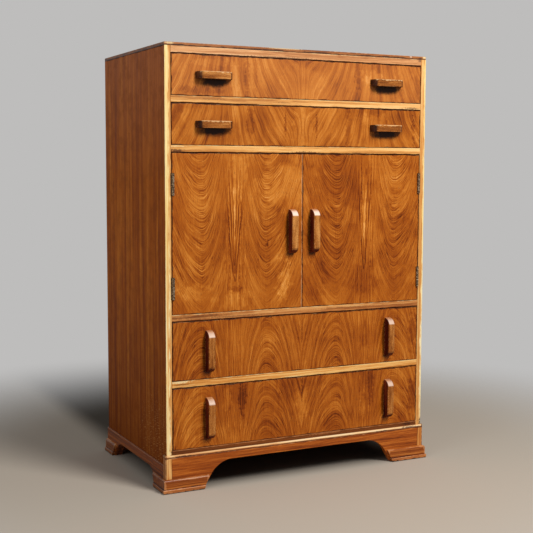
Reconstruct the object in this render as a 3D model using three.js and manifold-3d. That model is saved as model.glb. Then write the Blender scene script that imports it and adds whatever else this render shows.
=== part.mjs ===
import * as THREE from 'three';
import { mergeVertices } from 'three/addons/utils/BufferGeometryUtils.js';
import Module from 'manifold-3d';

// A walnut chifforobe: two shallow drawers over a two-door cupboard over two deep drawers,
// on a plinth with bracket feet. Millimetres. X runs to the right as seen from the front,
// Y towards the back and Z up. The origin is on the floor, in the middle of the footprint.

const wasm = await Module();
wasm.setup();

// Carcase
const carcaseWidth = 836;
const carcaseDepth = 500;
const sideThickness = 18;
const topThickness = 9;
const topRailHeight = 18;
const topRailDepth = 45;
const boardThickness = 18; // each board that shows as a rail between two fronts
const bottomThickness = 12;
const backThickness = 5;
const backLap = 9; // how far the back panel reaches into each side's rebate

// Heights of the openings behind the fronts, from the top down
const drawer1Opening = 112.5;
const drawer2Opening = 114;
const cupboardOpening = 440.5;
const drawer3Opening = 165;
const drawer4Opening = 173.5;

// Cupboard shelf
const shelfThickness = 15;
const shelfHeight = 205; // its underside above the cupboard floor
const shelfSetBack = 12; // its front edge behind the doors
const shelfHousing = 6; // how deep it is let into each side

// Plinth and its bead
const plinthHeight = 96.5; // of the front board
const plinthSideHeight = 74;
const plinthThickness = 18;
const plinthProud = 4; // out from the carcase, in front and on the sides
const beadHeight = 7;
const beadProud = 5; // out from the carcase, in front and at both ends

// Arches of the plinth: the foot's inner edge leans back to the arch and eases into it
const frontFootLength = 113; // along the floor, from the end of the front board
const frontArchHeight = 75;
const frontArchLean = 44;
const frontArchEase = 25;
const sideFootLength = 70; // along the floor, from the carcase's front and back
const sideArchHeight = 49;
const sideArchLean = 35;
const sideArchEase = 25;
const archStraightShare = 0.7; // share of the leaning edge that stays straight

// Moulding round each foot
const footHeight = 38;
const footProjection = 10; // out from the plinth, at the bead
const footBeadHeight = 7;
const footBeadProud = 2; // the bead out from the moulding's face
const footNoseRadius = 8;
const footSetBack = 2; // its inner end back from the edge of the arch, at the floor
const footLean = 17; // its inner end leans this far towards the arch

// Fronts and the gaps round them
const frontThickness = 18;
const frontGapTop = 2.5;
const frontGapBottom = 0.8;
const frontGapSide = 1.5; // at each end of a drawer
const meetingGap = 1.5; // between the doors

// Drawer boxes
const drawerDepth = 460; // from the face of the front to the back of the box
const drawerSideThickness = 10;
const drawerBackThickness = 10;
const drawerBottomThickness = 5;
const drawerSideDrop = 8; // the sides below the top of the opening
const drawerBackDrop = 12; // the back below the sides
const drawerBottomRise = 8; // the groove above the sides' lower edge
const drawerGroove = 5; // depth of the groove in the sides and the front
const drawerRunGap = 0.3; // under the sides, above the board that they run on
const tailLength = 12; // of the dovetails into the front
const tailSpacing = 35;
const tailTipShare = 0.72; // widths of a tail, as shares of its spacing
const tailRootShare = 0.5;

// Handles: blocks rounded over at both ends
const doorHandleLength = 125;
const shallowHandleLength = 107; // drawers 1 and 2
const deepHandleLength = 116; // drawers 3 and 4
const handleWidth = 19.5;
const handleProjection = 25.5;
const handleEndLength = 17; // of each rounded end
const doorHandleInset = 35; // from the middle of the front
const shallowHandleInset = 124; // its centre in from the side, drawers 1 and 2
const deepHandleInset = 108; // its centre in from the side, drawers 3 and 4
const deepHandleDrop = 4; // its centre below the middle of the front

// Butt hinges
const hingeHeight = 60;
const hingeLeafDepth = 22;
const hingeLeafThickness = 2;
const hingeKnuckleRadius = 4;
const hingePinRadius = 1.5;
const hingeKnuckles = 5;
const hingeAxisProud = 2.5; // the pin's axis in front of the carcase
const hingeDoorGap = 2; // between the door's edge and the side
const upperHingeDrop = 87; // its centre below the cupboard ceiling
const lowerHingeRise = 72; // its centre above the cupboard floor

// Fits
const fitGap = 0.3; // round whatever is let into another piece
const overrun = 5; // how far a cutter runs past the face that it opens
const curveSteps = 10;
const knuckleSides = 24;

// Levels, worked out from the floor up
const beadTop = plinthHeight + beadHeight;
const drawer4Floor = beadTop + bottomThickness;
const drawer4Ceiling = drawer4Floor + drawer4Opening;
const drawer3Floor = drawer4Ceiling + boardThickness;
const drawer3Ceiling = drawer3Floor + drawer3Opening;
const cupboardFloor = drawer3Ceiling + boardThickness;
const cupboardCeiling = cupboardFloor + cupboardOpening;
const drawer2Floor = cupboardCeiling + boardThickness;
const drawer2Ceiling = drawer2Floor + drawer2Opening;
const drawer1Floor = drawer2Ceiling + boardThickness;
const drawer1Ceiling = drawer1Floor + drawer1Opening;
const sideTop = drawer1Ceiling + topRailHeight;
const carcaseTop = sideTop + topThickness;
const shelfBottom = cupboardFloor + shelfHeight;

// Places across and along, worked out from the middle of the carcase
const outerX = carcaseWidth / 2;
const innerX = outerX - sideThickness;
const frontY = -carcaseDepth / 2;
const backY = carcaseDepth / 2;
const backPanelY = backY - backThickness;
const frontBackY = frontY + frontThickness;
const plinthX = outerX + plinthProud;
const plinthFrontY = frontY - plinthProud;
const plinthBackY = plinthFrontY + plinthThickness;
const hingeAxisX = innerX - hingeKnuckleRadius;
const hingeAxisY = frontY - hingeAxisProud;

const finishes = {
  crownWalnut: { color: 0x9c5a2a, roughness: 0.38, metalness: 0 },
  sideWalnut: { color: 0x6b3318, roughness: 0.42, metalness: 0 },
  topWalnut: { color: 0x643216, roughness: 0.4, metalness: 0 },
  lippedBoard: { color: 0xc78f4e, roughness: 0.5, metalness: 0 },
  darkRail: { color: 0x5a2f14, roughness: 0.5, metalness: 0 },
  wornBead: { color: 0xd9a868, roughness: 0.5, metalness: 0 },
  plinthWalnut: { color: 0x8a4a20, roughness: 0.42, metalness: 0 },
  handleWalnut: { color: 0x7c4a28, roughness: 0.35, metalness: 0 },
  drawerPine: { color: 0xc9a26c, roughness: 0.7, metalness: 0 },
  thinPanel: { color: 0xb48a58, roughness: 0.75, metalness: 0 },
  agedSteel: { color: 0x4a423a, roughness: 0.5, metalness: 0.9 },
};

// Ways to lay an outline: the pair is drawn on the first two axes and run along the third
const alongX = (y, z, run) => [run, y, z];
const alongY = (x, z, run) => [x, run, z];

function signedVolume(position, index) {
  const corner = [new THREE.Vector3(), new THREE.Vector3(), new THREE.Vector3()];
  let sum = 0;
  for (let i = 0; i < index.count; i += 3) {
    corner.forEach((point, k) => point.fromBufferAttribute(position, index.getX(i + k)));
    sum += corner[0].dot(corner[1].cross(corner[2]));
  }
  return sum;
}

// Moves every point, merges the shared ones and turns the faces outward
function closedMesh(source, movePoint) {
  source.deleteAttribute('normal');
  source.deleteAttribute('uv');
  const { position } = source.attributes;
  for (let i = 0; i < position.count; i += 1) {
    position.setXYZ(i, ...movePoint(position.getX(i), position.getY(i), position.getZ(i)));
  }
  const geometry = mergeVertices(source);
  const { index } = geometry;
  if (signedVolume(geometry.attributes.position, index) < 0) {
    for (let i = 0; i < index.count; i += 3) {
      const first = index.getX(i);
      index.setX(i, index.getX(i + 1));
      index.setX(i + 1, first);
    }
  }
  return geometry;
}

// A box between two faces on each axis
function block(xs, ys, zs) {
  const pick = (unit, ends) => (unit < 0 ? Math.min(...ends) : Math.max(...ends));
  return closedMesh(new THREE.BoxGeometry(1, 1, 1), (x, y, z) => [pick(x, xs), pick(y, ys), pick(z, zs)]);
}

// An outline run from one place to another
function prism(outline, lay, from, to) {
  const options = { depth: 1, bevelEnabled: false, curveSegments: curveSteps };
  const source = new THREE.ExtrudeGeometry(outline, options);
  return closedMesh(source, (a, b, unit) => lay(a, b, unit > 0 ? to : from));
}

// An upright round bar about x = 0, y = 0
function roundBar(radius, from, to) {
  const source = new THREE.CylinderGeometry(radius, radius, 1, knuckleSides);
  return closedMesh(source, (x, unit, z) => [x, z, unit > 0 ? to : from]);
}

function solid(geometry) {
  const vertProperties = geometry.attributes.position.array;
  const triVerts = new Uint32Array(geometry.index.array);
  return new wasm.Manifold(new wasm.Mesh({ numProp: 3, vertProperties, triVerts }));
}

function geometryOf(body) {
  const mesh = body.getMesh();
  const geometry = new THREE.BufferGeometry();
  geometry.setAttribute('position', new THREE.BufferAttribute(mesh.vertProperties, 3));
  geometry.setIndex(new THREE.BufferAttribute(mesh.triVerts, 1));
  return geometry;
}

function cut(geometry, cutters) {
  return geometryOf(cutters.reduce((body, cutter) => body.subtract(solid(cutter)), solid(geometry)));
}

function join(geometries) {
  return geometryOf(geometries.map(solid).reduce((body, next) => body.add(next)));
}

function overlapOf(first, second) {
  return geometryOf(solid(first).intersect(solid(second)));
}

function addPiece(parent, name, finish, geometry) {
  const material = new THREE.MeshStandardMaterial({ ...finish, flatShading: true });
  const mesh = new THREE.Mesh(geometry, material);
  mesh.name = name;
  parent.add(mesh);
  return mesh;
}

function addGroup(parent, x, y, z) {
  const group = new THREE.Group();
  group.position.set(x, y, z);
  parent.add(group);
  return group;
}

const sides = [{ name: 'left', sign: -1 }, { name: 'right', sign: 1 }];

// The two hinges on each door, by their centres
const hingeLevels = [
  { name: 'upper', z: cupboardCeiling - upperHingeDrop },
  { name: 'lower', z: cupboardFloor + lowerHingeRise },
];

// A side panel is notched behind the front plinth board and rebated for the back panel,
// with a housing for the shelf and a shallow recess for each hinge leaf
function sidePanel(sign) {
  const outline = new THREE.Shape();
  outline.moveTo(plinthBackY, plinthSideHeight);
  outline.lineTo(backY, plinthSideHeight);
  outline.lineTo(backY, sideTop);
  outline.lineTo(frontY, sideTop);
  outline.lineTo(frontY, beadTop);
  outline.lineTo(plinthBackY, beadTop);
  const board = prism(outline, alongX, sign * innerX, sign * outerX);
  const inside = sign * (innerX - overrun);
  const rebate = block(
    [inside, sign * (innerX + backLap)],
    [backPanelY - fitGap, backY + overrun],
    [plinthSideHeight - overrun, sideTop + overrun],
  );
  const housing = block(
    [inside, sign * (innerX + shelfHousing)],
    [frontBackY + shelfSetBack - fitGap, backY + overrun],
    [shelfBottom - fitGap, shelfBottom + shelfThickness + fitGap],
  );
  const recesses = hingeLevels.map(({ z }) => block(
    [inside, sign * (innerX + hingeLeafThickness + fitGap)],
    [frontY - overrun, frontY + hingeLeafDepth + fitGap],
    [z - hingeHeight / 2 - fitGap, z + hingeHeight / 2 + fitGap],
  ));
  return cut(board, [rebate, housing, ...recesses]);
}

// A board between the sides, from the front to the back panel
function dividerBoard(bottom, thickness) {
  return block([-innerX, innerX], [frontY, backPanelY], [bottom, bottom + thickness]);
}

// Draws an arch from one foot to the other, both corners on the floor
function drawArch(outline, from, to, height, lean, ease) {
  const straightRun = lean * archStraightShare;
  const straightRise = height * archStraightShare;
  outline.lineTo(from, 0);
  outline.lineTo(from + straightRun, straightRise);
  outline.quadraticCurveTo(from + lean, height, from + lean + ease, height);
  outline.lineTo(to - lean - ease, height);
  outline.quadraticCurveTo(to - lean, height, to - straightRun, straightRise);
  outline.lineTo(to, 0);
}

function plinthFront() {
  const footX = plinthX - frontFootLength;
  const outline = new THREE.Shape();
  outline.moveTo(-plinthX, 0);
  drawArch(outline, -footX, footX, frontArchHeight, frontArchLean, frontArchEase);
  outline.lineTo(plinthX, 0);
  outline.lineTo(plinthX, plinthHeight);
  outline.lineTo(-plinthX, plinthHeight);
  return prism(outline, alongY, plinthFrontY, plinthBackY);
}

function plinthSide(sign) {
  const footY = backY - sideFootLength;
  const outline = new THREE.Shape();
  outline.moveTo(plinthBackY, 0);
  drawArch(outline, -footY, footY, sideArchHeight, sideArchLean, sideArchEase);
  outline.lineTo(backY, 0);
  outline.lineTo(backY, plinthSideHeight);
  outline.lineTo(plinthBackY, plinthSideHeight);
  return prism(outline, alongX, sign * innerX, sign * plinthX);
}

// A half-round strip between the plinth and the bottom board
function plinthBead() {
  const radius = beadHeight / 2;
  const noseY = frontY - beadProud + radius;
  const outline = new THREE.Shape();
  outline.moveTo(plinthBackY, plinthHeight);
  outline.lineTo(noseY, plinthHeight);
  outline.absarc(noseY, plinthHeight + radius, radius, -Math.PI / 2, Math.PI / 2, true);
  outline.lineTo(plinthBackY, beadTop);
  return prism(outline, alongX, -outerX - beadProud, outerX + beadProud);
}

// Section of the foot moulding: a bead at the floor, an upright face and a rounded nose.
// It is drawn as distance out from the plinth and height, with its back set in by inset.
function footOutline(inset) {
  const face = footProjection - footBeadProud;
  const nose = Math.min(footNoseRadius, face);
  const beadRadius = footBeadHeight / 2;
  const outline = new THREE.Shape();
  outline.moveTo(-inset, 0);
  outline.lineTo(face, 0);
  outline.absellipse(face, beadRadius, footBeadProud, beadRadius, -Math.PI / 2, Math.PI / 2);
  outline.lineTo(face, footHeight - nose);
  outline.absarc(face - nose, footHeight - nose, nose, 0, Math.PI / 2);
  outline.lineTo(-inset, footHeight);
  return outline;
}

// Everything past the leaning inner end of a moulding, drawn as distance along it and height
function footEndOutline(floorEnd) {
  const spare = footLean * overrun / footHeight;
  const outline = new THREE.Shape();
  outline.moveTo(floorEnd - spare, -overrun);
  outline.lineTo(floorEnd + footLean + spare, footHeight + overrun);
  outline.lineTo(floorEnd + footLean + spare + overrun, footHeight + overrun);
  outline.lineTo(floorEnd + footLean + spare + overrun, -overrun);
  return outline;
}

// The moulding of a front foot turns the corner: two runs share a mitre
function frontFootMoulding(sign) {
  const frontEnd = frontFootLength - footSetBack;
  const sideEnd = sideFootLength + plinthProud - footSetBack;
  const frontReach = frontEnd + footLean;
  const sideReach = sideEnd + footLean;
  const outside = footProjection + overrun;
  const frontRun = prism(
    footOutline(sideReach),
    (out, z, run) => [run, plinthFrontY - out, z],
    sign * (plinthX + outside),
    sign * (plinthX - frontReach),
  );
  const sideRun = prism(
    footOutline(frontReach),
    (out, z, run) => [sign * (plinthX + out), run, z],
    plinthFrontY - outside,
    plinthFrontY + sideReach,
  );
  const corner = overlapOf(frontRun, sideRun);
  const core = block(
    [sign * plinthX, sign * (plinthX - frontReach - overrun)],
    [plinthFrontY, plinthFrontY + sideReach + overrun],
    [-overrun, footHeight + overrun],
  );
  const frontEndCut = prism(
    footEndOutline(frontEnd),
    (along, z, run) => [sign * (plinthX - along), run, z],
    plinthFrontY - outside,
    plinthFrontY + overrun,
  );
  const sideEndCut = prism(
    footEndOutline(sideEnd),
    (along, z, run) => [run, plinthFrontY + along, z],
    sign * (plinthX + outside),
    sign * (plinthX - overrun),
  );
  return cut(corner, [core, frontEndCut, sideEndCut]);
}

function backFootMoulding(sign) {
  const end = sideFootLength - footSetBack;
  const run = prism(
    footOutline(0),
    (out, z, place) => [sign * (plinthX + out), place, z],
    backY - end - footLean,
    backY,
  );
  const endCut = prism(
    footEndOutline(end),
    (along, z, place) => [place, backY - along, z],
    sign * (plinthX - overrun),
    sign * (plinthX + footProjection + overrun),
  );
  return cut(run, [endCut]);
}

function addCarcase(parent) {
  const { lippedBoard, plinthWalnut, sideWalnut, thinPanel } = finishes;
  const fullX = [-outerX, outerX];
  const betweenX = [-innerX, innerX];
  sides.forEach(({ name, sign }) => {
    addPiece(parent, `side_${name}`, sideWalnut, sidePanel(sign));
    addPiece(parent, `plinth_${name}`, plinthWalnut, plinthSide(sign));
    addPiece(parent, `foot_moulding_front_${name}`, plinthWalnut, frontFootMoulding(sign));
    addPiece(parent, `foot_moulding_back_${name}`, plinthWalnut, backFootMoulding(sign));
  });
  addPiece(parent, 'top_board', finishes.topWalnut, block(fullX, [frontY, backY], [sideTop, carcaseTop]));
  const topRail = block(betweenX, [frontY, frontY + topRailDepth], [drawer1Ceiling, sideTop]);
  addPiece(parent, 'top_rail', lippedBoard, topRail);
  addPiece(parent, 'divider_board_upper', lippedBoard, dividerBoard(drawer2Ceiling, boardThickness));
  addPiece(parent, 'cupboard_ceiling', lippedBoard, dividerBoard(cupboardCeiling, boardThickness));
  addPiece(parent, 'cupboard_floor', lippedBoard, dividerBoard(drawer3Ceiling, boardThickness));
  addPiece(parent, 'divider_board_lower', lippedBoard, dividerBoard(drawer4Ceiling, boardThickness));
  addPiece(parent, 'bottom_board', finishes.darkRail, dividerBoard(beadTop, bottomThickness));
  const panelX = innerX + backLap - fitGap;
  const panel = block([-panelX, panelX], [backPanelY, backY], [plinthSideHeight, sideTop]);
  addPiece(parent, 'back_panel', thinPanel, panel);
  const shelfX = innerX + shelfHousing - fitGap;
  const shelfY = [frontBackY + shelfSetBack, backPanelY];
  const shelf = block([-shelfX, shelfX], shelfY, [shelfBottom, shelfBottom + shelfThickness]);
  addPiece(parent, 'cupboard_shelf', finishes.drawerPine, shelf);
  addPiece(parent, 'plinth_front', plinthWalnut, plinthFront());
  addPiece(parent, 'plinth_bead', finishes.wornBead, plinthBead());
  const plinthBack = block(betweenX, [backPanelY - plinthThickness, backPanelY], [0, beadTop]);
  addPiece(parent, 'plinth_back', plinthWalnut, plinthBack);
}

// A hinge is drawn about its pin, with its middle at z = 0. The distance u runs from the pin
// towards the door, so the side's face is at u = -hingeKnuckleRadius.
const leafFrontY = hingeAxisProud;
const leafBackY = hingeAxisProud + hingeLeafDepth;
const doorEdgeU = hingeDoorGap - hingeKnuckleRadius;

// Heights of the knuckles, those of the frame's leaf first, third and fifth from the bottom
function knuckleSpans(onFrame) {
  const height = hingeHeight / hingeKnuckles;
  const spans = [];
  for (let i = 0; i < hingeKnuckles; i += 1) {
    const bottom = i * height - hingeHeight / 2;
    const gap = onFrame ? 0 : fitGap;
    if ((i % 2 === 0) === onFrame) {
      spans.push([bottom + gap, bottom + height - gap]);
    }
  }
  return spans;
}

// The leaf let into the side, with its knuckles and the pin
function frameLeaf(sign) {
  const x = (u) => -sign * u;
  const faceU = -hingeKnuckleRadius;
  const rearU = faceU - hingeLeafThickness;
  const half = hingeHeight / 2;
  const plate = block([x(rearU), x(faceU)], [leafFrontY, leafBackY], [-half, half]);
  const knuckles = knuckleSpans(true).flatMap((span) => [
    roundBar(hingeKnuckleRadius, ...span),
    block([x(rearU), 0], [leafFrontY, hingeKnuckleRadius], span),
  ]);
  const pin = roundBar(hingePinRadius, -half, half);
  return join([plate, ...knuckles, pin]);
}

// The leaf let into the door's edge, with its knuckles
function doorLeaf(sign) {
  const x = (u) => -sign * u;
  const plateX = [x(doorEdgeU), x(doorEdgeU + hingeLeafThickness)];
  const half = hingeHeight / 2;
  const plateFrontY = hingeKnuckleRadius + fitGap;
  const plate = block(plateX, [plateFrontY, leafBackY], [-half, half]);
  const knuckles = knuckleSpans(false).flatMap((span) => [
    roundBar(hingeKnuckleRadius, ...span),
    block(plateX, [0, plateFrontY + hingeLeafThickness], span),
  ]);
  const bore = roundBar(hingePinRadius + fitGap, -half - overrun, half + overrun);
  return cut(join([plate, ...knuckles]), [bore]);
}

// A handle's outline, drawn about its middle: the arcs of its ends start square to the seat
// and meet the flat front at an edge
function handleOutline(length) {
  const half = length / 2;
  const radius = (handleEndLength ** 2 + handleProjection ** 2) / (2 * handleEndLength);
  const sweep = Math.atan2(handleProjection, radius - handleEndLength);
  const outline = new THREE.Shape();
  outline.moveTo(-half, 0);
  outline.lineTo(half, 0);
  outline.absarc(half - radius, 0, radius, 0, sweep);
  outline.absarc(radius - half, 0, radius, Math.PI - sweep, Math.PI);
  return outline;
}

// A handle on the face at seatY, its length level or upright
function handle(length, upright, seatY) {
  const lay = upright
    ? (along, out, run) => [run, seatY - out, along]
    : (along, out, run) => [along, seatY - out, run];
  return prism(handleOutline(length), lay, -handleWidth / 2, handleWidth / 2);
}

// A door and its two hinges, placed about the pins' common axis
function addDoor(parent, { name, sign }) {
  const group = addGroup(parent, sign * hingeAxisX, hingeAxisY, 0);
  const x = (u) => -sign * u;
  const meetingU = hingeAxisX - meetingGap / 2;
  const doorY = [hingeAxisProud, hingeAxisProud + frontThickness];
  const bottom = cupboardFloor + frontGapBottom;
  const top = cupboardCeiling - frontGapTop;
  const openU = doorEdgeU - overrun;
  const openY = hingeAxisProud - overrun;
  const clearRadius = hingeKnuckleRadius + fitGap;
  const recesses = hingeLevels.flatMap(({ z }) => {
    const span = [z - hingeHeight / 2 - fitGap, z + hingeHeight / 2 + fitGap];
    const leafX = [x(openU), x(doorEdgeU + hingeLeafThickness + fitGap)];
    return [
      block(leafX, [openY, leafBackY + fitGap], span),
      block([x(openU), x(clearRadius)], [openY, clearRadius], span),
    ];
  });
  const board = cut(block([x(doorEdgeU), x(meetingU)], doorY, [bottom, top]), recesses);
  addPiece(group, `door_${name}`, finishes.crownWalnut, board);

  const pull = handle(doorHandleLength, true, doorY[0]);
  const grip = addPiece(group, `door_${name}_handle`, finishes.handleWalnut, pull);
  grip.position.set(x(hingeAxisX - doorHandleInset), 0, (bottom + top) / 2);
  hingeLevels.forEach(({ name: level, z }) => {
    const leaf = addPiece(group, `door_${name}_hinge_leaf_${level}`, finishes.agedSteel, doorLeaf(sign));
    leaf.position.z = z;
    const frame = addGroup(parent, sign * hingeAxisX, hingeAxisY, z);
    addPiece(frame, `frame_${name}_hinge_leaf_${level}`, finishes.agedSteel, frameLeaf(sign));
  });
}

// Heights of the dovetails up a drawer's side
function tailCentres(height) {
  const count = Math.max(1, Math.round(height / tailSpacing));
  const pitch = height / count;
  return Array.from({ length: count }, (_, i) => ({ z: drawerRunGap + pitch * (i + 0.5), pitch }));
}

// Corners of a dovetail, or of its socket with some margin, from its root forward
function tailCorners({ z, pitch }, nearY, farY, margin) {
  const root = pitch * tailRootShare / 2;
  const flare = (pitch * tailTipShare / 2 - root) / tailLength;
  const halfAt = (y) => root + flare * (frontBackY - y) + margin;
  return [
    [nearY, z - halfAt(nearY)],
    [farY, z - halfAt(farY)],
    [farY, z + halfAt(farY)],
    [nearY, z + halfAt(nearY)],
  ];
}

// One drawer, with z = 0 on the board that it runs on
function addDrawer(parent, { number, floor, opening, handles }) {
  const group = addGroup(parent, 0, 0, floor);
  const prefix = `drawer_${number}`;
  const frontX = innerX - frontGapSide;
  const boxX = frontX - drawerSideThickness;
  const boxBackY = frontY + drawerDepth;
  const sideTopZ = opening - drawerSideDrop;
  const grooveZ = drawerRunGap + drawerBottomRise;
  const bottomZ = [grooveZ, grooveZ + drawerBottomThickness];
  const grooveSpan = [bottomZ[0] - fitGap, bottomZ[1] + fitGap];
  const tails = tailCentres(sideTopZ - drawerRunGap);
  const tipY = frontBackY - tailLength;

  const frontZ = [frontGapBottom, opening - frontGapTop];
  const sockets = sides.flatMap(({ sign }) => tails.map((tail) => {
    const corners = tailCorners(tail, frontBackY + overrun, tipY - fitGap, fitGap);
    const outline = new THREE.Shape(corners.map(([y, z]) => new THREE.Vector2(y, z)));
    return prism(outline, alongX, sign * (boxX - fitGap), sign * (frontX + overrun));
  }));
  const frontGroove = block(
    [-boxX - drawerGroove, boxX + drawerGroove],
    [frontBackY - drawerGroove, frontBackY + overrun],
    grooveSpan,
  );
  const face = cut(block([-frontX, frontX], [frontY, frontBackY], frontZ), [frontGroove, ...sockets]);
  addPiece(group, `${prefix}_front`, finishes.crownWalnut, face);

  sides.forEach(({ name, sign }) => {
    const outline = new THREE.Shape();
    outline.moveTo(boxBackY, drawerRunGap);
    outline.lineTo(frontBackY, drawerRunGap);
    tails.forEach((tail) => {
      tailCorners(tail, frontBackY, tipY, 0).forEach(([y, z]) => outline.lineTo(y, z));
    });
    outline.lineTo(frontBackY, sideTopZ);
    outline.lineTo(boxBackY, sideTopZ);
    const board = prism(outline, alongX, sign * boxX, sign * frontX);
    const grooveX = [sign * (boxX - overrun), sign * (boxX + drawerGroove)];
    const groove = block(grooveX, [tipY - overrun, boxBackY + overrun], grooveSpan);
    addPiece(group, `${prefix}_side_${name}`, finishes.drawerPine, cut(board, [groove]));

    const pull = handle(handles.length, handles.upright, frontY);
    const grip = addPiece(group, `${prefix}_handle_${name}`, finishes.handleWalnut, pull);
    grip.position.set(sign * (innerX - handles.inset), 0, (frontZ[0] + frontZ[1]) / 2 - handles.drop);
  });

  const rear = block(
    [-boxX, boxX],
    [boxBackY - drawerBackThickness, boxBackY],
    [bottomZ[1], sideTopZ - drawerBackDrop],
  );
  addPiece(group, `${prefix}_back`, finishes.drawerPine, rear);
  const bottomX = boxX + drawerGroove - fitGap;
  const bottomY = [frontBackY - drawerGroove + fitGap, boxBackY];
  addPiece(group, `${prefix}_bottom`, finishes.thinPanel, block([-bottomX, bottomX], bottomY, bottomZ));
}

const level = { length: shallowHandleLength, upright: false, inset: shallowHandleInset, drop: 0 };
const upright = { length: deepHandleLength, upright: true, inset: deepHandleInset, drop: deepHandleDrop };
const drawers = [
  { number: 1, floor: drawer1Floor, opening: drawer1Opening, handles: level },
  { number: 2, floor: drawer2Floor, opening: drawer2Opening, handles: level },
  { number: 3, floor: drawer3Floor, opening: drawer3Opening, handles: upright },
  { number: 4, floor: drawer4Floor, opening: drawer4Opening, handles: upright },
];

// The footprint's middle is in front of the carcase's, because the handles stand out in front
const frontReach = Math.max(handleProjection, plinthProud + footProjection, beadProud);
const chifforobe = new THREE.Group();
chifforobe.name = 'chifforobe';
chifforobe.position.y = frontReach / 2;

addCarcase(chifforobe);
sides.forEach((side) => addDoor(chifforobe, side));
drawers.forEach((drawer) => addDrawer(chifforobe, drawer));

export default chifforobe;
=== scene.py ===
import inspect
import math

import bmesh
import bpy
from mathutils import Matrix, Vector, noise

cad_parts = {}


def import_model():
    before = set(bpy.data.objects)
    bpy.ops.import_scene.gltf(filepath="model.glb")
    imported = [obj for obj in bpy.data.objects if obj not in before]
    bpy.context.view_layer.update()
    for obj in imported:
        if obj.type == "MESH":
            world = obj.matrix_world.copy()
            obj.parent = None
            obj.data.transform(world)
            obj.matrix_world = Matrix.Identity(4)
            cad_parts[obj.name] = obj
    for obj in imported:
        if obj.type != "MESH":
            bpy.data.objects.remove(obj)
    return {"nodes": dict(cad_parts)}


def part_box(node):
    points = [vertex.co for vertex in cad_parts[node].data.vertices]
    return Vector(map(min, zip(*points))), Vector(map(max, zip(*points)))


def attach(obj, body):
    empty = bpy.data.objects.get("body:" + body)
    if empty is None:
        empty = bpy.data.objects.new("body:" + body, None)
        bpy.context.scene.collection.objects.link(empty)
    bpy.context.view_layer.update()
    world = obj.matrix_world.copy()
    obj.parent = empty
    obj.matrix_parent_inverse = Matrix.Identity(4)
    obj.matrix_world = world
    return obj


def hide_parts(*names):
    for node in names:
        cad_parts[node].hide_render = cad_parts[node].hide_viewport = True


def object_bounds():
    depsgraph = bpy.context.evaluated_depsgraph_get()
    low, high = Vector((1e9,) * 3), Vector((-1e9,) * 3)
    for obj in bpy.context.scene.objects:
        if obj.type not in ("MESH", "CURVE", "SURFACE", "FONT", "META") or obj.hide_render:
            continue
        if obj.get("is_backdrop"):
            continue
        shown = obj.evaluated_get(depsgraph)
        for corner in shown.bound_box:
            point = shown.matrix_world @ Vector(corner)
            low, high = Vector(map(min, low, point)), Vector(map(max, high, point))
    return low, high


# A walnut chifforobe: book-matched crown veneer on the fronts, pale rubbed lippings, shaped
# pulls, butt hinges and moulded bracket feet. Metres, with X to the right, Y to the back, Z up.

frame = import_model()
cad_low, cad_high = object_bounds()

MM = 0.001
OVERRUN = 5 * MM  # how far a cutter runs past the face that it opens
FIT = 0.3 * MM  # round whatever is let into another piece

# The camera, solved from the straight edges of the carcase in the photograph
PHOTO_SIZE = 533
FOCAL_PIXELS = 1056.26
SENSOR_WIDTH = 36.0
CAMERA_PLACE = (-1.44235, -2.88366, 0.88676)
CAMERA_YAW = 26.65
CAMERA_PITCH = -5.30
CAMERA_ROLL = 0.16

# Levels and faces of the carcase
FRONT_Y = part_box("top_board")[0].y
INNER_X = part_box("side_right")[0].x
BEAD_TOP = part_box("plinth_bead")[1].z

BOARD_EDGE = 0.8 * MM
THIN_EDGE = 0.3 * MM
LIPPING_DEPTH = 6 * MM
LIPPING_STEP = 5 * MM  # between the rings of a rubbed strip

# Rubbed corners: how far they reach, and how deep the rub and the chips go
SIDE_WEAR = (3.2 * MM, 0.9 * MM, 1.6 * MM)
RAIL_WEAR = (2.4 * MM, 0.5 * MM, 0.9 * MM)

HINGE_RADIUS = 4 * MM
HINGE_LEAF = 2 * MM
HINGE_KNUCKLES = 5
PIN_RADIUS = 1.5 * MM
SIDES = (("left", -1), ("right", 1))
LEVELS = ("upper", "lower")
DRAWERS = (1, 2, 3, 4)


# Mesh work

def select_only(piece):
    if bpy.context.mode != "OBJECT":
        bpy.ops.object.mode_set(mode="OBJECT")
    bpy.ops.object.select_all(action="DESELECT")
    piece.select_set(True)
    bpy.context.view_layer.objects.active = piece


def settle():
    """Puts the active object's place, turn and size into its mesh."""
    bpy.ops.object.transform_apply(location=True, rotation=True, scale=True)
    return bpy.context.active_object


def drawn(name, primitive, **settings):
    """An object made by one of Blender's primitives."""
    bpy.ops.object.select_all(action="DESELECT")
    primitive(**settings)
    piece = settle()
    piece.name = name
    return piece


def turned(degrees, axis):
    return Matrix.Rotation(math.radians(degrees), 3, axis)


def block(name, low, high):
    """A block between two corners."""
    low, high = Vector(low), Vector(high)
    shape = {"size": 1, "location": (low + high) / 2, "scale": high - low}
    return drawn(name, bpy.ops.mesh.primitive_cube_add, **shape)


def rod(name, centre, radius, length, axis, sides):
    """A round bar about a centre, along the axis numbered 0, 1 or 2."""
    turn = [(0, math.radians(90), 0), (math.radians(90), 0, 0), (0, 0, 0)][axis]
    shape = {"vertices": sides, "radius": radius, "depth": length, "rotation": turn}
    return drawn(name, bpy.ops.mesh.primitive_cylinder_add, location=centre, **shape)


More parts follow.
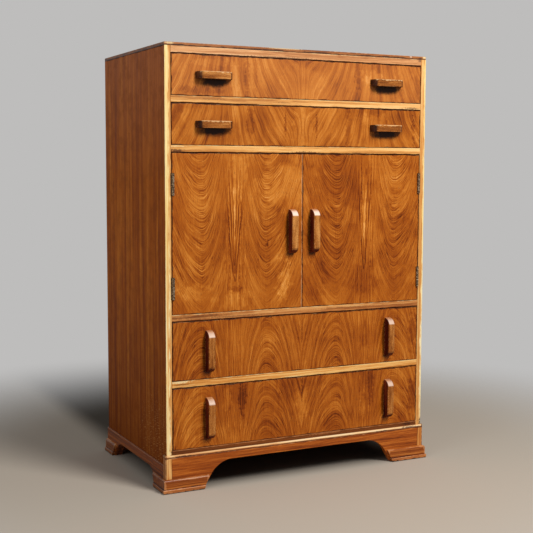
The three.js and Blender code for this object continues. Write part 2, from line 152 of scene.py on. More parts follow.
def edit(piece, kind, chosen, operator, **settings):
    """Runs an operator in edit mode on the chosen corners, edges or faces of the piece."""
    select_only(piece)
    bpy.ops.object.mode_set(mode="EDIT")
    bpy.ops.mesh.select_mode(type=kind)
    bpy.ops.mesh.select_all(action="DESELECT")
    mesh = bmesh.from_edit_mesh(piece.data)
    parts = {"VERT": mesh.verts, "EDGE": mesh.edges, "FACE": mesh.faces}[kind]
    for part in parts:
        if chosen(part):
            part.select_set(True)
    mesh.select_flush_mode()
    bmesh.update_edit_mesh(piece.data)
    operator(**settings)
    bpy.ops.object.mode_set(mode="OBJECT")


def every(_):
    """Chooses all corners, edges or faces."""
    return True


def middle(edge):
    return (edge.verts[0].co + edge.verts[1].co) / 2


def runs_along(edge, axis):
    """True for an edge that is parallel to the axis."""
    line = edge.verts[1].co - edge.verts[0].co
    return abs(line[axis]) > 0.999 * line.length


def bevel(piece, chosen, width, segments=3):
    edit(piece, "EDGE", chosen, bpy.ops.mesh.bevel, offset=width, segments=segments)


def apply_modifier(piece, kind, **settings):
    select_only(piece)
    modifier = piece.modifiers.new(kind.lower(), kind)
    for key, value in settings.items():
        setattr(modifier, key, value)
    bpy.ops.object.modifier_apply(modifier=modifier.name)


def remove(piece):
    mesh = piece.data
    bpy.data.objects.remove(piece)
    bpy.data.meshes.remove(mesh)


def cut(piece, *cutters):
    """Takes the cutters out of the piece and throws them away."""
    for cutter in cutters:
        apply_modifier(piece, "BOOLEAN", operation="DIFFERENCE", solver="EXACT", object=cutter)
        remove(cutter)
    return piece


def cut_box(piece, low, high):
    return cut(piece, block("cutter", low, high))


def merged_copy(node):
    """A closed copy of a CAD node, whose own triangles are loose."""
    copy = frame["nodes"][node].copy()
    copy.data = copy.data.copy()
    copy.parent = None
    bpy.context.scene.collection.objects.link(copy)
    edit(copy, "VERT", every, bpy.ops.mesh.remove_doubles, threshold=1e-6)
    return copy


def smooth(piece, angle=35):
    """Soft shading over rounded edges, with the flat faces left flat."""
    select_only(piece)
    bpy.ops.object.shade_smooth_by_angle(angle=math.radians(angle))
    apply_modifier(piece, "WEIGHTED_NORMAL", keep_sharp=True, mode="FACE_AREA", weight=50)
    return piece


def soft_block(name, low, high, edge, segments=3):
    """A board with every edge eased."""
    piece = block(name, low, high)
    bevel(piece, every, edge, segments)
    return piece


def join(name, pieces):
    bpy.ops.object.select_all(action="DESELECT")
    for piece in pieces:
        piece.select_set(True)
    bpy.context.view_layer.objects.active = pieces[0]
    bpy.ops.object.join()
    joined = bpy.context.active_object
    joined.name = name
    return joined


def copy_to(form, name, turn, place):
    """A copy of a form drawn at the origin, turned and put in its place."""
    copy = form.copy()
    copy.data = form.data.copy()
    copy.name = name
    bpy.context.scene.collection.objects.link(copy)
    select_only(copy)
    copy.matrix_world = Matrix.Translation(place) @ turn.to_4x4()
    settle()
    return copy


def ripple(place, size, seed):
    """Smooth noise between 0 and 1 at a place."""
    offset = Vector((seed * 7.3, seed * 3.1, seed * 5.7))
    return 0.5 + 0.5 * noise.noise(Vector(place) / size + offset)


def bites(place, size, seed, rarity):
    """Noise that is zero except where a chip has gone."""
    return max(0.0, ripple(place, size, seed) - rarity) / (1 - rarity)


def subdivide_along(piece, axis, step):
    """Rings across the piece, a step apart along the axis."""
    spans = [v.co[axis] for v in piece.data.vertices]
    cuts = max(1, round((max(spans) - min(spans)) / step) - 1)
    edit(piece, "EDGE", lambda edge: runs_along(edge, axis), bpy.ops.mesh.subdivide, number_cuts=cuts)


def rub_corners(piece, axis, across, reach, rub, chip, seed):
    """Rubs and chips the two front corners of a strip that runs along the axis."""
    spans = [v.co[across] for v in piece.data.vertices]
    front = min(v.co.y for v in piece.data.vertices)
    ends = (min(spans), max(spans))
    for vertex in piece.data.vertices:
        for k, end in enumerate(ends):
            inward = 1 if k == 0 else -1
            gap = Vector((vertex.co[across] - end, vertex.co.y - front)).length
            share = max(0.0, 1 - gap / reach)
            place = Vector((0, k, vertex.co[axis]))
            depth = rub * ripple(place, 60 * MM, seed) ** 2
            depth += rub * ripple(place, 9 * MM, seed + 3) ** 2 / 2
            depth += chip * bites(place, 16 * MM, seed + 5, 0.66)
            vertex.co[across] += inward * depth * share
            vertex.co.y += depth * share * 0.8
    piece.data.update()


def ease_front(strip, axis, width, segments=3):
    """Rounds the two front edges of a strip that runs along the axis."""
    near_front = min(v.co.y for v in strip.data.vertices) + MM
    bevel(strip, lambda edge: runs_along(edge, axis) and middle(edge).y < near_front, width, segments)


def rubbed_strip(name, low, high, axis, ease, *wear):
    """A lipping along the axis, with its front corners eased, then rubbed and chipped."""
    strip = block(name, low, high)
    ease_front(strip, axis, ease)
    subdivide_along(strip, axis, LIPPING_STEP)
    rub_corners(strip, axis, 2 - axis, *wear)
    return strip


# Shader work

def shade(red, green, blue):
    """A colour given as it shows on a screen, 0 to 255, as Blender holds it."""
    def linear(value):
        value /= 255
        return value / 12.92 if value <= 0.04045 else ((value + 0.055) / 1.055) ** 2.4
    return (linear(red), linear(green), linear(blue), 1)


class Wire:
    """One output of a node. Sums and products of wires make the nodes that work them out."""

    def __init__(self, net, socket):
        self.net = net
        self.socket = socket

    def __add__(self, other):
        return self.net.math("ADD", self, other)

    def __sub__(self, other):
        return self.net.math("SUBTRACT", self, other)

    def __rsub__(self, other):
        return self.net.math("SUBTRACT", other, self)

    def __mul__(self, other):
        return self.net.math("MULTIPLY", self, other)

    def __truediv__(self, other):
        return self.net.math("DIVIDE", self, other)

    def __rtruediv__(self, other):
        return self.net.math("DIVIDE", other, self)

    def __abs__(self):
        return self.net.math("ABSOLUTE", self)


class Net:
    """The nodes of one tree, laid out from left to right as they are added."""

    def __init__(self, tree):
        self.tree = tree
        self.count = 0

    def node(self, kind, inputs=None, **settings):
        """Adds a node, whose inputs are wires or plain values."""
        node = self.tree.nodes.new(kind)
        node.location = (200 * (self.count // 4), -260 * (self.count % 4))
        self.count += 1
        for key, value in settings.items():
            setattr(node, key, value)
        for key, value in (inputs or {}).items():
            self.join(value, node.inputs[key])
        return node

    def add(self, kind, inputs=None, output=0, **settings):
        """Adds a node and gives the wire from one of its outputs."""
        return Wire(self, self.node(kind, inputs, **settings).outputs[output])

    def join(self, value, socket):
        if isinstance(value, Wire):
            self.tree.links.new(value.socket, socket)
        else:
            socket.default_value = value

    def math(self, operation, first, second=0.0):
        return self.add("ShaderNodeMath", {0: first, 1: second}, operation=operation)

    def vector(self, operation, first, second):
        return self.add("ShaderNodeVectorMath", {0: first, 1: second}, operation=operation)

    def scaled(self, vector, factor):
        return self.add("ShaderNodeVectorMath", {0: vector, "Scale": factor}, operation="SCALE")

    def length(self, vector):
        return self.add("ShaderNodeVectorMath", {0: vector}, "Value", operation="LENGTH")

    def parts(self, vector):
        sockets = self.node("ShaderNodeSeparateXYZ", {0: vector}).outputs
        return [Wire(self, socket) for socket in sockets]

    def combine(self, x, y, z):
        return self.add("ShaderNodeCombineXYZ", {0: x, 1: y, 2: z})

    def noise(self, vector, scale=1, detail=2.0, roughness=0.5, output=0):
        inputs = {"Vector": vector, "Scale": scale, "Detail": detail, "Roughness": roughness}
        return self.add("ShaderNodeTexNoise", inputs, output)

    def range(self, value, low, high, to_low=0.0, to_high=1.0, kind="SMOOTHSTEP"):
        inputs = {0: value, 1: low, 2: high, 3: to_low, 4: to_high}
        return self.add("ShaderNodeMapRange", inputs, interpolation_type=kind)

    def ramp(self, value, stops):
        node = self.node("ShaderNodeValToRGB", {0: value})
        elements = node.color_ramp.elements
        elements.remove(elements[1])
        for index, (place, colour) in enumerate(stops):
            element = elements[0] if index == 0 else elements.new(place)
            element.position = place
            element.color = shade(*colour)
        return Wire(self, node.outputs[0])

    def blend(self, factor, first, second):
        return self.add("ShaderNodeMix", {0: factor, 6: first, 7: second}, 2, data_type="RGBA")

    def swing(self, value, gain):
        """A noise about 0.5 as a swing about 0."""
        return (value - 0.5) * gain


NOWHERE = (0.0, 0.0, 0.0)
MID_GREY = (0.5, 0.5, 0.5)


def emptied(owner):
    """The node tree of a material or a world, cleared for new nodes."""
    owner.use_nodes = True
    owner.node_tree.nodes.clear()
    return owner.node_tree


def label(key):
    """A group's input as Blender shows it, from its name here."""
    return key.replace("_", " ").capitalize()


def node_group(draw):
    """Builds a node group once, from a function that draws it in a net and gives its outputs
    by name. Its inputs are the function's own, with their defaults. From then on the function's
    name places the group in a net, and gives the wire or wires that come out of it."""
    tree = bpy.data.node_groups.new(label(draw.__name__), "ShaderNodeTree")
    keys = list(inspect.signature(draw).parameters)[1:]
    for key, default in zip(keys, draw.__defaults__):
        kind = "NodeSocketVector" if isinstance(default, tuple) else "NodeSocketFloat"
        socket = tree.interface.new_socket(name=label(key), in_out="INPUT", socket_type=kind)
        socket.default_value = default
    inside = Net(tree)
    given = inside.node("NodeGroupInput").outputs
    results = draw(inside, *(Wire(inside, given[label(key)]) for key in keys))
    for name, wire in results.items():
        kind = "NodeSocketVector" if wire.socket.type == "VECTOR" else "NodeSocketFloat"
        tree.interface.new_socket(name=name, in_out="OUTPUT", socket_type=kind)
    inside.node("NodeGroupOutput", results)

    def place_group(net, **inputs):
        inputs = {label(key): value for key, value in inputs.items()}
        outputs = net.node("ShaderNodeGroup", inputs, node_tree=tree).outputs
        wires = [Wire(net, socket) for socket in outputs]
        return wires[0] if len(wires) == 1 else wires

    return place_group


@node_group
def grain_drift(net, place=NOWHERE, wide=6.0, narrow=1.5):
    """Moves each place a little, so that no grain line is drawn with a ruler."""
    moved = place
    for amount, reach in ((wide, 120), (narrow, 26)):
        move = net.vector("SUBTRACT", net.noise(place, 1 / reach, 1, output=1), MID_GREY)
        moved = net.vector("ADD", moved, net.scaled(move, amount * 2))
    return {"Place": moved}


# How far the growth rings climb, as a share of CLIMB, against the distance from the nearest
# seam between two leaves of veneer, as a share of LEAF
LEAF = 220.0
CLIMB = 600.0
CLIMB_SHARES = (
    (0.0, 0.10), (0.023, 0.25), (0.052, 0.50), (0.075, 0.58), (0.1, 0.42), (0.15, 0.27),
    (0.195, 0.185), (0.264, 0.10), (0.33, 0.04), (0.39, 0.008), (0.445, 0.0), (0.536, 0.013),
    (0.6, 0.034), (0.673, 0.068), (0.786, 0.17), (0.89, 0.29), (1.0, 0.42),
)
SEAM = 213.0  # distance of the seams from the middle of the chest
SEAM_HOLD = 25.0  # the drift grows from nothing over this distance from a seam
BOWL = 98.0  # distance of the lowest point of each ring from the seam
POINT_END, POINT_REACH = 760.0, 200.0  # below this level the rings grow pointed
LEAF_SHIFT = 0.03  # how far mirrored leaves differ, as a share of the distance between them


@node_group
def crown_rings(net, place=NOWHERE, way=1.0, steepness=1.0, growth=0.0, point=0.0, wander=7.0):
    """Growth rings of crown-cut leaves, each of which mirrors the leaf beside it."""
    x, _, z = net.parts(place)
    from_seam = abs(abs(x) - SEAM)
    moved = grain_drift(
        net, place=net.combine(from_seam, x * LEAF_SHIFT, z), wide=wander, narrow=1.8
    )
    moved_x, _, moved_z = net.parts(moved)
    held = net.range(from_seam, 0, SEAM_HOLD, kind="LINEAR")
    moved_x = from_seam + (moved_x - from_seam) * held
    curve = net.node("ShaderNodeFloatCurve", {1: moved_x / LEAF})
    points = curve.mapping.curves[0].points
    points[0].location = CLIMB_SHARES[0]
    points[1].location = CLIMB_SHARES[-1]
    for share in CLIMB_SHARES[1:-1]:
        points.new(*share)
    curve.mapping.update()
    climb = Wire(net, curve.outputs[0]) * CLIMB
    pointed = abs(moved_x - BOWL) * point
    level = moved_z * way - climb * steepness - pointed * (POINT_END / POINT_REACH)
    spread = climb * growth + 1.0 - pointed / POINT_REACH
    return {"Rings": level / spread, "Leaf": moved}


FAN_APEX = 235.0  # distance from the middle to which the rings of a fan lean
FAN_SPACING = 2.2
FAN_HOLD = 60.0


@node_group
def fanned_rings(net, place=NOWHERE, level=1000.0, spread=0.42, wander=9.0):
    """Growth rings of one leaf on each side of the middle, which spread downward like a fan."""
    x, _, z = net.parts(place)
    moved = grain_drift(
        net, place=net.combine(abs(x), x * LEAF_SHIFT, z), wide=wander, narrow=2.0
    )
    moved_x, _, moved_z = net.parts(moved)
    out = (moved_x - FAN_APEX) / FAN_APEX * net.range(moved_x, 0.0, FAN_HOLD)
    lean = out * spread * (moved_z - level)
    return {"Rings": (moved_x + lean) * FAN_SPACING, "Leaf": moved}


@node_group
def wood_figure(
    net, rings=0.0, leaf=NOWHERE, place=NOWHERE, bands=0.4, lines=0.8, fine=0.6, veins=0.25,
    fibre=0.4, clouds=0.6, streaks=0.0, clear=1.0,
):
    """Turns rings into light and dark wood: broad bands, lines, dark veins, fibres, clouds."""
    u, shift, z = net.parts(leaf)
    x, _, height = net.parts(place)

    def along_rings(ring_size, drift_size, detail=1):
        spot = net.combine(rings / ring_size, u / drift_size, (z + shift * 3) / drift_size)
        return net.noise(spot, detail=detail)

    veined = net.range(abs(along_rings(7, 90) - 0.5), 0.045, 0.01) * veins
    fine_rings = net.swing(along_rings(4.4, 90, 3), lines) + net.swing(along_rings(1.9, 40), fine)
    clear = net.range(net.noise(leaf, 1 / 60, 1), 0.35, 0.65, 0.65, 1.25) * clear
    at_seam = net.range(u, 52.0, 14.0) * streaks
    ringed = net.swing(along_rings(26, 300), bands) + (fine_rings - veined) * clear
    streak_place = net.combine(u / 3.4, shift * 0.3, z / 210)
    tone = ringed * (1.0 - at_seam * 0.6)
    tone += net.swing(net.noise(streak_place), 1.3) * at_seam
    tone += net.swing(net.noise(net.combine(x / 1.3, 0.0, height / 60)), fibre)
    tone += net.swing(net.noise(place, 1 / 110), clouds)
    return {"Tone": tone + 0.5}


@node_group
def pore_mask(net, place=NOWHERE, length=9.0, rarity=0.62):
    """Short dark pores that lie along the third axis of the place given."""
    x, y, z = net.parts(place)
    thin = net.combine(x / 0.7, y / 0.7, z / length)
    return {"Mask": net.range(net.noise(thin, detail=1), rarity, rarity + 0.08)}


@node_group
def straight_grain(net, place=NOWHERE, stripe=9.0, reach=420.0, contrast=1.0):
    """Straight grain along the third axis of the place given."""
    x, y, z = net.parts(place)

    def stripes(share, stretch, detail, gain):
        size = stripe * share
        spot = net.combine(x / size, y / size, z / (reach * stretch))
        return net.swing(net.noise(spot, detail=detail), gain)

    swing = stripes(4.0, 1.6, 1, 1.0) + stripes(1.0, 1.0, 2, 1.0) + stripes(0.2, 0.25, 2, 0.8)
    return {"Tone": swing * contrast + 0.5}


@node_group
def edge_distance(net, place=NOWHERE, low=NOWHERE, high=NOWHERE):
    """How far a place on a box-shaped piece lies from the box's nearest edge."""
    from_low = net.vector("SUBTRACT", place, low)
    from_high = net.vector("SUBTRACT", high, place)
    x, y, z = net.parts(net.vector("MINIMUM", from_low, from_high))
    smaller = net.math("MINIMUM", x, y)
    larger = net.math("MAXIMUM", x, y)
    return {"Distance": net.math("MAXIMUM", smaller, net.math("MINIMUM", larger, z))}


@node_group
def wear_mask(net, distance=0.0, place=NOWHERE, reach=2.0, grain_size=12.0, evenness=0.3):
    """Marks a band of uneven width where the distance given is small, as wear leaves it; also used for
    painted highlights and shade.
    """
    breakup = net.range(net.noise(place, 1.0 / grain_size, 3, 0.6), 0.35, 0.7)
    width = reach * (breakup + evenness)
    return {"Mask": net.range(width - distance, 0.0, reach * 0.45)}


@node_group
def patch_mask(
    net, place=NOWHERE, centre=NOWHERE, size=(20.0, 20.0, 20.0), ragged=0.8, grain_size=9.0
):
    """Marks a ragged oval about a centre."""
    offset = net.vector("SUBTRACT", place, centre)
    distance = net.length(net.vector("DIVIDE", offset, size))
    breakup = net.swing(net.noise(place, 1.0 / grain_size, 3, 0.65), 4) * ragged
    return {"Mask": net.range(distance + breakup, 1.1, 0.5)}


@node_group
def knock_mask(net, place=NOWHERE):
    """Small faint knocks."""
    return {"Mask": net.range(net.noise(place, 1 / 5, 2, 0.7), 0.7, 0.78) * 0.5}


def in_mm(box):
    return tuple(box[0] / MM), tuple(box[1] / MM)


GRAIN_AXES = {0: (2, 1, 0), 1: (0, 2, 1), 2: (1, 0, 2)}
PATCH_DEPTH = 30.0
GRAIN_RELIEF = {"Strength": 0.12, "Distance": 0.25 * MM}
STEEL_RELIEF = {"Strength": 0.3, "Distance": 0.2 * MM}
COAT_ROUGHNESS = 0.16


class Finish(Net):
    """A material as it is painted: the place on the piece in millimetres, and the colour so far.

    Wear and painted light along edges are given as their reach in millimetres, the size of their
    grains, and their evenness."""

    def __init__(self, name):
        self.material = bpy.data.materials.new(name)
        super().__init__(emptied(self.material))
        self.shader = self.node("ShaderNodeBsdfPrincipled")
        self.node("ShaderNodeOutputMaterial", {0: Wire(self, self.shader.outputs[0])})
        self.place = self.scaled(self.add("ShaderNodeTexCoord", output="Object"), 1 / MM)
        self.axes = self.parts(self.place)
        self.colour = None

    def grain_place(self, along, wide=3.0, narrow=0.5):
        """The place with a little drift, and the grain's axis put last."""
        parts = self.parts(grain_drift(self, place=self.place, wide=wide, narrow=narrow))
        return self.combine(*(parts[axis] for axis in GRAIN_AXES[along]))

    def tint(self, mask, strength, tint):
        """Turns the colour towards a tint where the mask is."""
        self.colour = self.blend(mask * strength, self.colour, shade(*tint))

    def wear(self, distance, reach, grain_size, evenness=0.3):
        given = {"reach": reach, "grain_size": grain_size, "evenness": evenness}
        return wear_mask(self, distance=distance, place=self.place, **given)

    def wear_edges(self, box, tint, strength, *wear):
        """Rubs or grimes the edges of the box, or paints highlight or shade along them."""
        low, high = in_mm(box)
        distance = edge_distance(self, place=self.place, low=low, high=high)
        self.tint(self.wear(distance, *wear), strength, tint)

    def wear_line(self, axis, level, way, tint, strength, *wear):
        """The same along one level face; the band lies on the side that way points to."""
        distance = self.math("MAXIMUM", (self.axes[axis] - level / MM) * way, 0.0)
        self.tint(self.wear(distance, *wear), strength, tint)

    def patch(self, x, z, half_x, half_z, ragged=0.8):
        """A ragged oval on the front, in millimetres."""
        return patch_mask(
            self, place=self.place, centre=(x, FRONT_Y / MM, z),
            size=(half_x, PATCH_DEPTH, half_z), ragged=ragged,
            grain_size=max(min(half_x, half_z), 4.0),
        )

    def mark(self, marks, ragged=0.8):
        """Stains, rubbed places and painted shadows: centre and half sizes in X and Z, a strength and a
        tint.
        """
        for *where, strength, tint in marks:
            self.tint(self.patch(*where, ragged), strength, tint)

    def done(self, inputs):
        """Joins the shader's inputs and gives the material."""
        for key, value in inputs.items():
            self.join(value, self.shader.inputs[key])
        return self.material

    def polish(self, rough, tone, pores, coat=0.06, specular=0.25):
        """Satin polish: a little rougher in the pores, with the grain just standing out."""
        bump = {**GRAIN_RELIEF, "Height": tone * 0.3 - pores}
        return self.done({
            "Base Color": self.colour,
            "Roughness": self.swing(tone, 0.12) + rough + pores * 0.15,
            "Coat Weight": coat,
            "Coat Roughness": COAT_ROUGHNESS,
            "Specular IOR Level": specular,
            "Normal": self.add("ShaderNodeBump", bump),
        })


# Colours, from the dark of each wood to its light

BARE = (232, 192, 132)
CREAM = (250, 226, 170)
STAIN = (58, 24, 14)
# dark dirt for joints and edges, and painted shadow where a foot meets the floor
GRIME = (46, 20, 12)
# painted shadow below and beside the pulls
PULL_DIRT = (28, 6, 1)

CROWN_COLOURS = (
    (0.0, (98, 38, 0)), (0.2, (140, 62, 6)), (0.5, (180, 96, 20)), (0.8, (216, 134, 48)),
    (1.0, (242, 170, 90)),
)
FAN_COLOURS = (
    (0.0, (92, 38, 8)), (0.2, (144, 69, 14)), (0.5, (184, 102, 26)), (0.8, (212, 132, 50)),
    (1.0, (234, 162, 86)),
)
SIDE_COLOURS = ((0.0, (122, 50, 2)), (0.5, (176, 90, 18)), (1.0, (216, 132, 52)))
TOP_COLOURS = ((0.0, (70, 30, 6)), (0.5, (120, 62, 22)), (1.0, (170, 104, 52)))
STILE_PALE = ((0.0, (206, 140, 60)), (0.35, (242, 196, 112)), (1.0, (255, 236, 172)))
STILE_FOOT = ((0.0, (230, 150, 72)), (0.3, (255, 222, 150)), (1.0, (255, 246, 208)))
STILE_TAN = ((0.0, (170, 96, 34)), (0.5, (218, 148, 72)), (1.0, (242, 194, 124)))
RAIL_COLOURS = {
    "top_rail": ((0.0, (168, 104, 58)), (0.5, (216, 152, 96)), (1.0, (238, 186, 134))),
    "divider_board_upper": ((0.0, (180, 112, 52)), (0.5, (230, 164, 88)), (1.0, (248, 198, 130))),
    "cupboard_ceiling": ((0.0, (184, 114, 48)), (0.5, (234, 168, 90)), (1.0, (250, 202, 130))),
    "cupboard_floor": ((0.0, (146, 78, 30)), (0.5, (204, 132, 68)), (1.0, (234, 178, 110))),
    "divider_board_lower": ((0.0, (176, 104, 38)), (0.5, (228, 154, 72)), (1.0, (248, 196, 120))),
    "bottom_board": ((0.0, (86, 40, 6)), (0.5, (118, 60, 12)), (1.0, (150, 82, 26))),
}
BEAD_UPPER = ((0.0, (216, 148, 88)), (0.35, (250, 206, 146)), (1.0, (255, 244, 214)))
BEAD_LOWER = ((0.0, (150, 76, 28)), (0.5, (212, 134, 62)), (1.0, (244, 188, 112)))
PLINTH_COLOURS = ((0.0, (98, 36, 2)), (0.5, (164, 78, 12)), (1.0, (212, 122, 42)))
PLINTH_SIDE_COLOURS = ((0.0, (62, 18, 0)), (0.5, (116, 50, 4)), (1.0, (166, 88, 26)))
FOOT_COLOURS = ((0.0, (84, 30, 4)), (0.5, (150, 72, 16)), (1.0, (208, 128, 54)))
BAND_COLOURS = ((0.0, (160, 82, 22)), (0.4, (214, 134, 56)), (1.0, (252, 204, 132)))
PULL_FRONT = ((0.0, (102, 50, 14)), (0.5, (164, 95, 36)), (1.0, (216, 147, 76)))
# Painted shade: the faces behind each pull's front, and the left sides of the upright pulls, are darker
# copies of the front's colours
PULL_SIDE = ((0.0, (28, 8, 2)), (0.5, (66, 30, 10)), (1.0, (110, 62, 30)))
PULL_LEFT = ((0.0, (44, 6, 2)), (0.5, (86, 22, 10)), (1.0, (128, 56, 26)))
PINE_COLOURS = ((0.0, (176, 128, 74)), (0.5, (212, 170, 112)), (1.0, (232, 200, 148)))
PLY_COLOURS = ((0.0, (150, 104, 60)), (0.5, (186, 140, 88)), (1.0, (210, 170, 116)))
INSIDE_COLOURS = ((0.0, (112, 58, 22)), (0.5, (154, 90, 42)), (1.0, (186, 124, 70)))
STEEL_COLOURS = ((0.3, (46, 32, 22)), (0.5, (104, 80, 58)), (0.66, (206, 180, 146)))
PORE_LENGTH = 14.0


# Darker and lighter places in the veneer: centre and half sizes in X and Z, and the change
TONES = {
    "door_left": (
        (-112, 675, 4, 6, -0.6), (-60, 575, 26, 60, 0.26), (-60, 860, 80, 90, 0.2),
        (-200, 870, 30, 60, 0.14), (-340, 550, 50, 24, 0.16), (-215, 520, 60, 30, 0.16),
        (-240, 690, 10, 90, -0.1), (-188, 690, 8, 90, -0.08), (-212, 552, 26, 9, -0.2),
        (-320, 740, 60, 90, 0.06),
    ),
    "door_right": (
        (205, 560, 70, 60, -0.16), (70, 600, 60, 80, -0.12), (100, 850, 120, 90, -0.14),
        (205, 740, 14, 90, 0.05), (320, 860, 60, 60, 0.12), (330, 560, 60, 60, -0.08),
        (330, 710, 80, 100, -0.12), (110, 700, 80, 90, -0.12),
    ),
    "drawer_1_front": (
        (-176, 1140, 9, 70, -0.26), (-150, 1140, 7, 70, -0.16), (180, 1160, 12, 50, -0.24),
        (-310, 1096, 70, 12, -0.2), (225, 1150, 40, 26, 0.24), (-280, 1172, 70, 14, 0.16),
        (-210, 1120, 16, 50, 0.16), (0, 1135, 70, 70, 0.14), (385, 1135, 10, 60, -0.12),
        # the lighter place at 340 across is part of the painted sheen
        (340, 1135, 40, 60, 0.16),
    ),
    "drawer_2_front": (
        (-56, 1010, 4, 40, -0.3), (44, 1008, 4, 36, -0.3), (-165, 1010, 12, 50, -0.22),
        (150, 1000, 12, 50, -0.2), (235, 1025, 50, 26, 0.2), (375, 1005, 8, 40, -0.24),
        (0, 1000, 34, 70, 0.16), (-385, 1020, 26, 50, -0.12),
    ),
    "drawer_3_front": (
        (0, 390, 450, 200, -0.05), (-330, 370, 80, 60, -0.08), (385, 400, 18, 70, -0.2),
        (0, 400, 16, 90, 0.1), (1, 420, 1.8, 60, -0.3),
    ),
    "drawer_4_front": (
        (0, 200, 450, 200, -0.12), (-190, 240, 14, 50, -0.26), (236, 250, 14, 60, -0.16),
        (-235, 245, 16, 40, 0.16), (385, 200, 18, 60, -0.2), (0, 215, 24, 60, 0.18),
        (2, 250, 1.8, 40, -0.5), (208, 190, 10, 44, 0.14),
    ),
}

# A thin pale painted sheen over a front, and its colour
HAZES = {"drawer_1_front": (0.13, (216, 140, 90))}

# Stains and rubbed places on the rails: centre and half sizes in X and Z, strength and tint
RUBBED = (206, 132, 78)
MARKS = {
    "top_rail": ((-60, 1195, 120, 2, 0.5, STAIN), (396, 1208, 6, 5, 0.6, STAIN)),
    "divider_board_upper": (
        (-285, 1073, 40, 1.6, 0.5, STAIN), (-60, 1070, 30, 1.6, 0.4, STAIN),
        (370, 1066, 30, 3, 0.6, STAIN),
    ),
    "cupboard_ceiling": (
        (-384, 934, 24, 4, 0.75, STAIN), (8, 932, 50, 3, 0.7, STAIN),
        (176, 933, 16, 2, 0.5, STAIN), (-390, 945, 30, 2, 0.5, CREAM),
    ),
    "cupboard_floor": (
        (-330, 482, 90, 7, 0.35, STAIN), (-200, 477, 90, 2.4, 0.4, STAIN),
        (150, 482, 120, 2, 0.35, STAIN),
    ),
    "divider_board_lower": (
        (-380, 304, 34, 3.4, 0.8, CREAM), (-372, 297, 26, 2, 0.5, STAIN),
        (-30, 290, 30, 2, 0.6, CREAM),
    ),
    "bottom_board": ((80, 112, 60, 1.6, 0.5, RUBBED), (370, 110, 24, 5, 0.7, GRIME)),
}


# Pale pointed tongues on the doors' seams: the seam, the level of the tip, and the width
TONGUES = {
    "door_left": ((-213, 572, 32), (-213, 594, 20), (-213, 618, 9)),
    "door_right": ((207, 592, 26), (207, 622, 14)),
}
TONGUE_REACH = 330.0
PLAIN_FOOT = (500.0, 620.0)  # the rings of the doors fade below the second level


def add_tongue(skin, tone, seam, tip, width):
    """A pale pointed tongue with a dark outline, which opens upward along a seam."""
    x, _, z = skin.parts(grain_drift(skin, place=skin.place, wide=3.0, narrow=3.0))
    rise = skin.range(z, tip, tip + TONGUE_REACH, kind="LINEAR")
    out = abs(x - seam) - skin.math("POWER", rise, 0.8) * width
    here = skin.range(z, tip - 2, tip + 4) * skin.range(rise, 1.0, 0.45)
    outline = skin.range(abs(out), 3.2, 0.4) * here
    inside = skin.range(out, 2.0, -4.0) * here
    return tone + outline * -0.4 + inside * 0.14


def pull_grime(pull):
    """Marks of painted shadow below a pull, and on the left of an upright one."""
    low, high = in_mm(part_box(pull))
    x, z = (low[0] + high[0]) / 2, (low[2] + high[2]) / 2
    half_x, half_z = (high[0] - low[0]) / 2, (high[2] - low[2]) / 2
    if half_x > half_z:
        return ((x + 2, low[2] - 5, 0.98 * half_x, 18, 0.96, PULL_DIRT),)
    beside = (low[0] - 2, z - 3, 8, half_z + 6, 0.6, PULL_DIRT)
    below = (x - 5, low[2] + 1, 13, 8, 0.7, PULL_DIRT)
    return beside, below


def veneer_finish(node, rings_group, settings, colours, box, gains):
    """Figured veneer on a front: rings, pores, patches, painted shade along the edges, and a thin
    rubbed line.
    """
    skin = Finish(f"{node}_veneer")
    rings, leaf = rings_group(skin, place=skin.place, **settings)
    clear = 1.0
    if node in TONGUES:
        clear = skin.range(skin.axes[2], *PLAIN_FOOT, 0.4, 1.0)
    tone = wood_figure(skin, rings=rings, leaf=leaf, place=skin.place, clear=clear, **gains)
    for *where, change in TONES[node]:
        tone += skin.patch(*where) * change
    for tongue in TONGUES.get(node, ()):
        tone = add_tongue(skin, tone, *tongue)
    pores = pore_mask(skin, place=skin.place, length=11.0, rarity=0.58)
    skin.colour = skin.ramp(tone, colours)
    skin.tint(pores, 0.36, STAIN)
    # painted sheen over the whole front
    if node in HAZES:
        skin.tint(1.0, *HAZES[node])
    skin.tint(knock_mask(skin, place=skin.place), 0.3, STAIN)
    # painted shade of the gaps round the front, as a dark band along its edges
    skin.wear_edges(box, (60, 20, 6), 0.85, 2.5, 40.0, 0.4)
    skin.wear_edges(box, BARE, 0.3, 1.0, 18.0, 0.0)
    # painted shadow below each pull on this front, and beside the upright ones
    for pull, *_ in pull_rows():
        if pull.startswith(node.replace("front", "")):
            skin.mark(pull_grime(pull), ragged=0.25)
    if node == "door_left":
        skin.wear_line(0, box[1].x, -1, (222, 158, 108), 0.75, 2.6, 30.0, 0.6)
    return skin.polish(0.38, tone, pores, coat=0.04, specular=0.15)


def straight_finish(name, colours, along, stripe, contrast, rough, extra=None, **gloss):
    """A straight-grained board; extra adds marks and wear to its colour."""
    skin = Finish(name)
    lie = skin.grain_place(along)
    tone = straight_grain(skin, place=lie, stripe=stripe, contrast=contrast)
    pores = pore_mask(skin, place=lie, length=PORE_LENGTH)
    skin.colour = skin.ramp(tone, colours)
    skin.tint(pores, 0.22, STAIN)
    if extra:
        extra(skin)
    skin.tint(knock_mask(skin, place=skin.place), 0.3, STAIN)
    return skin.polish(rough, tone, pores, **gloss)


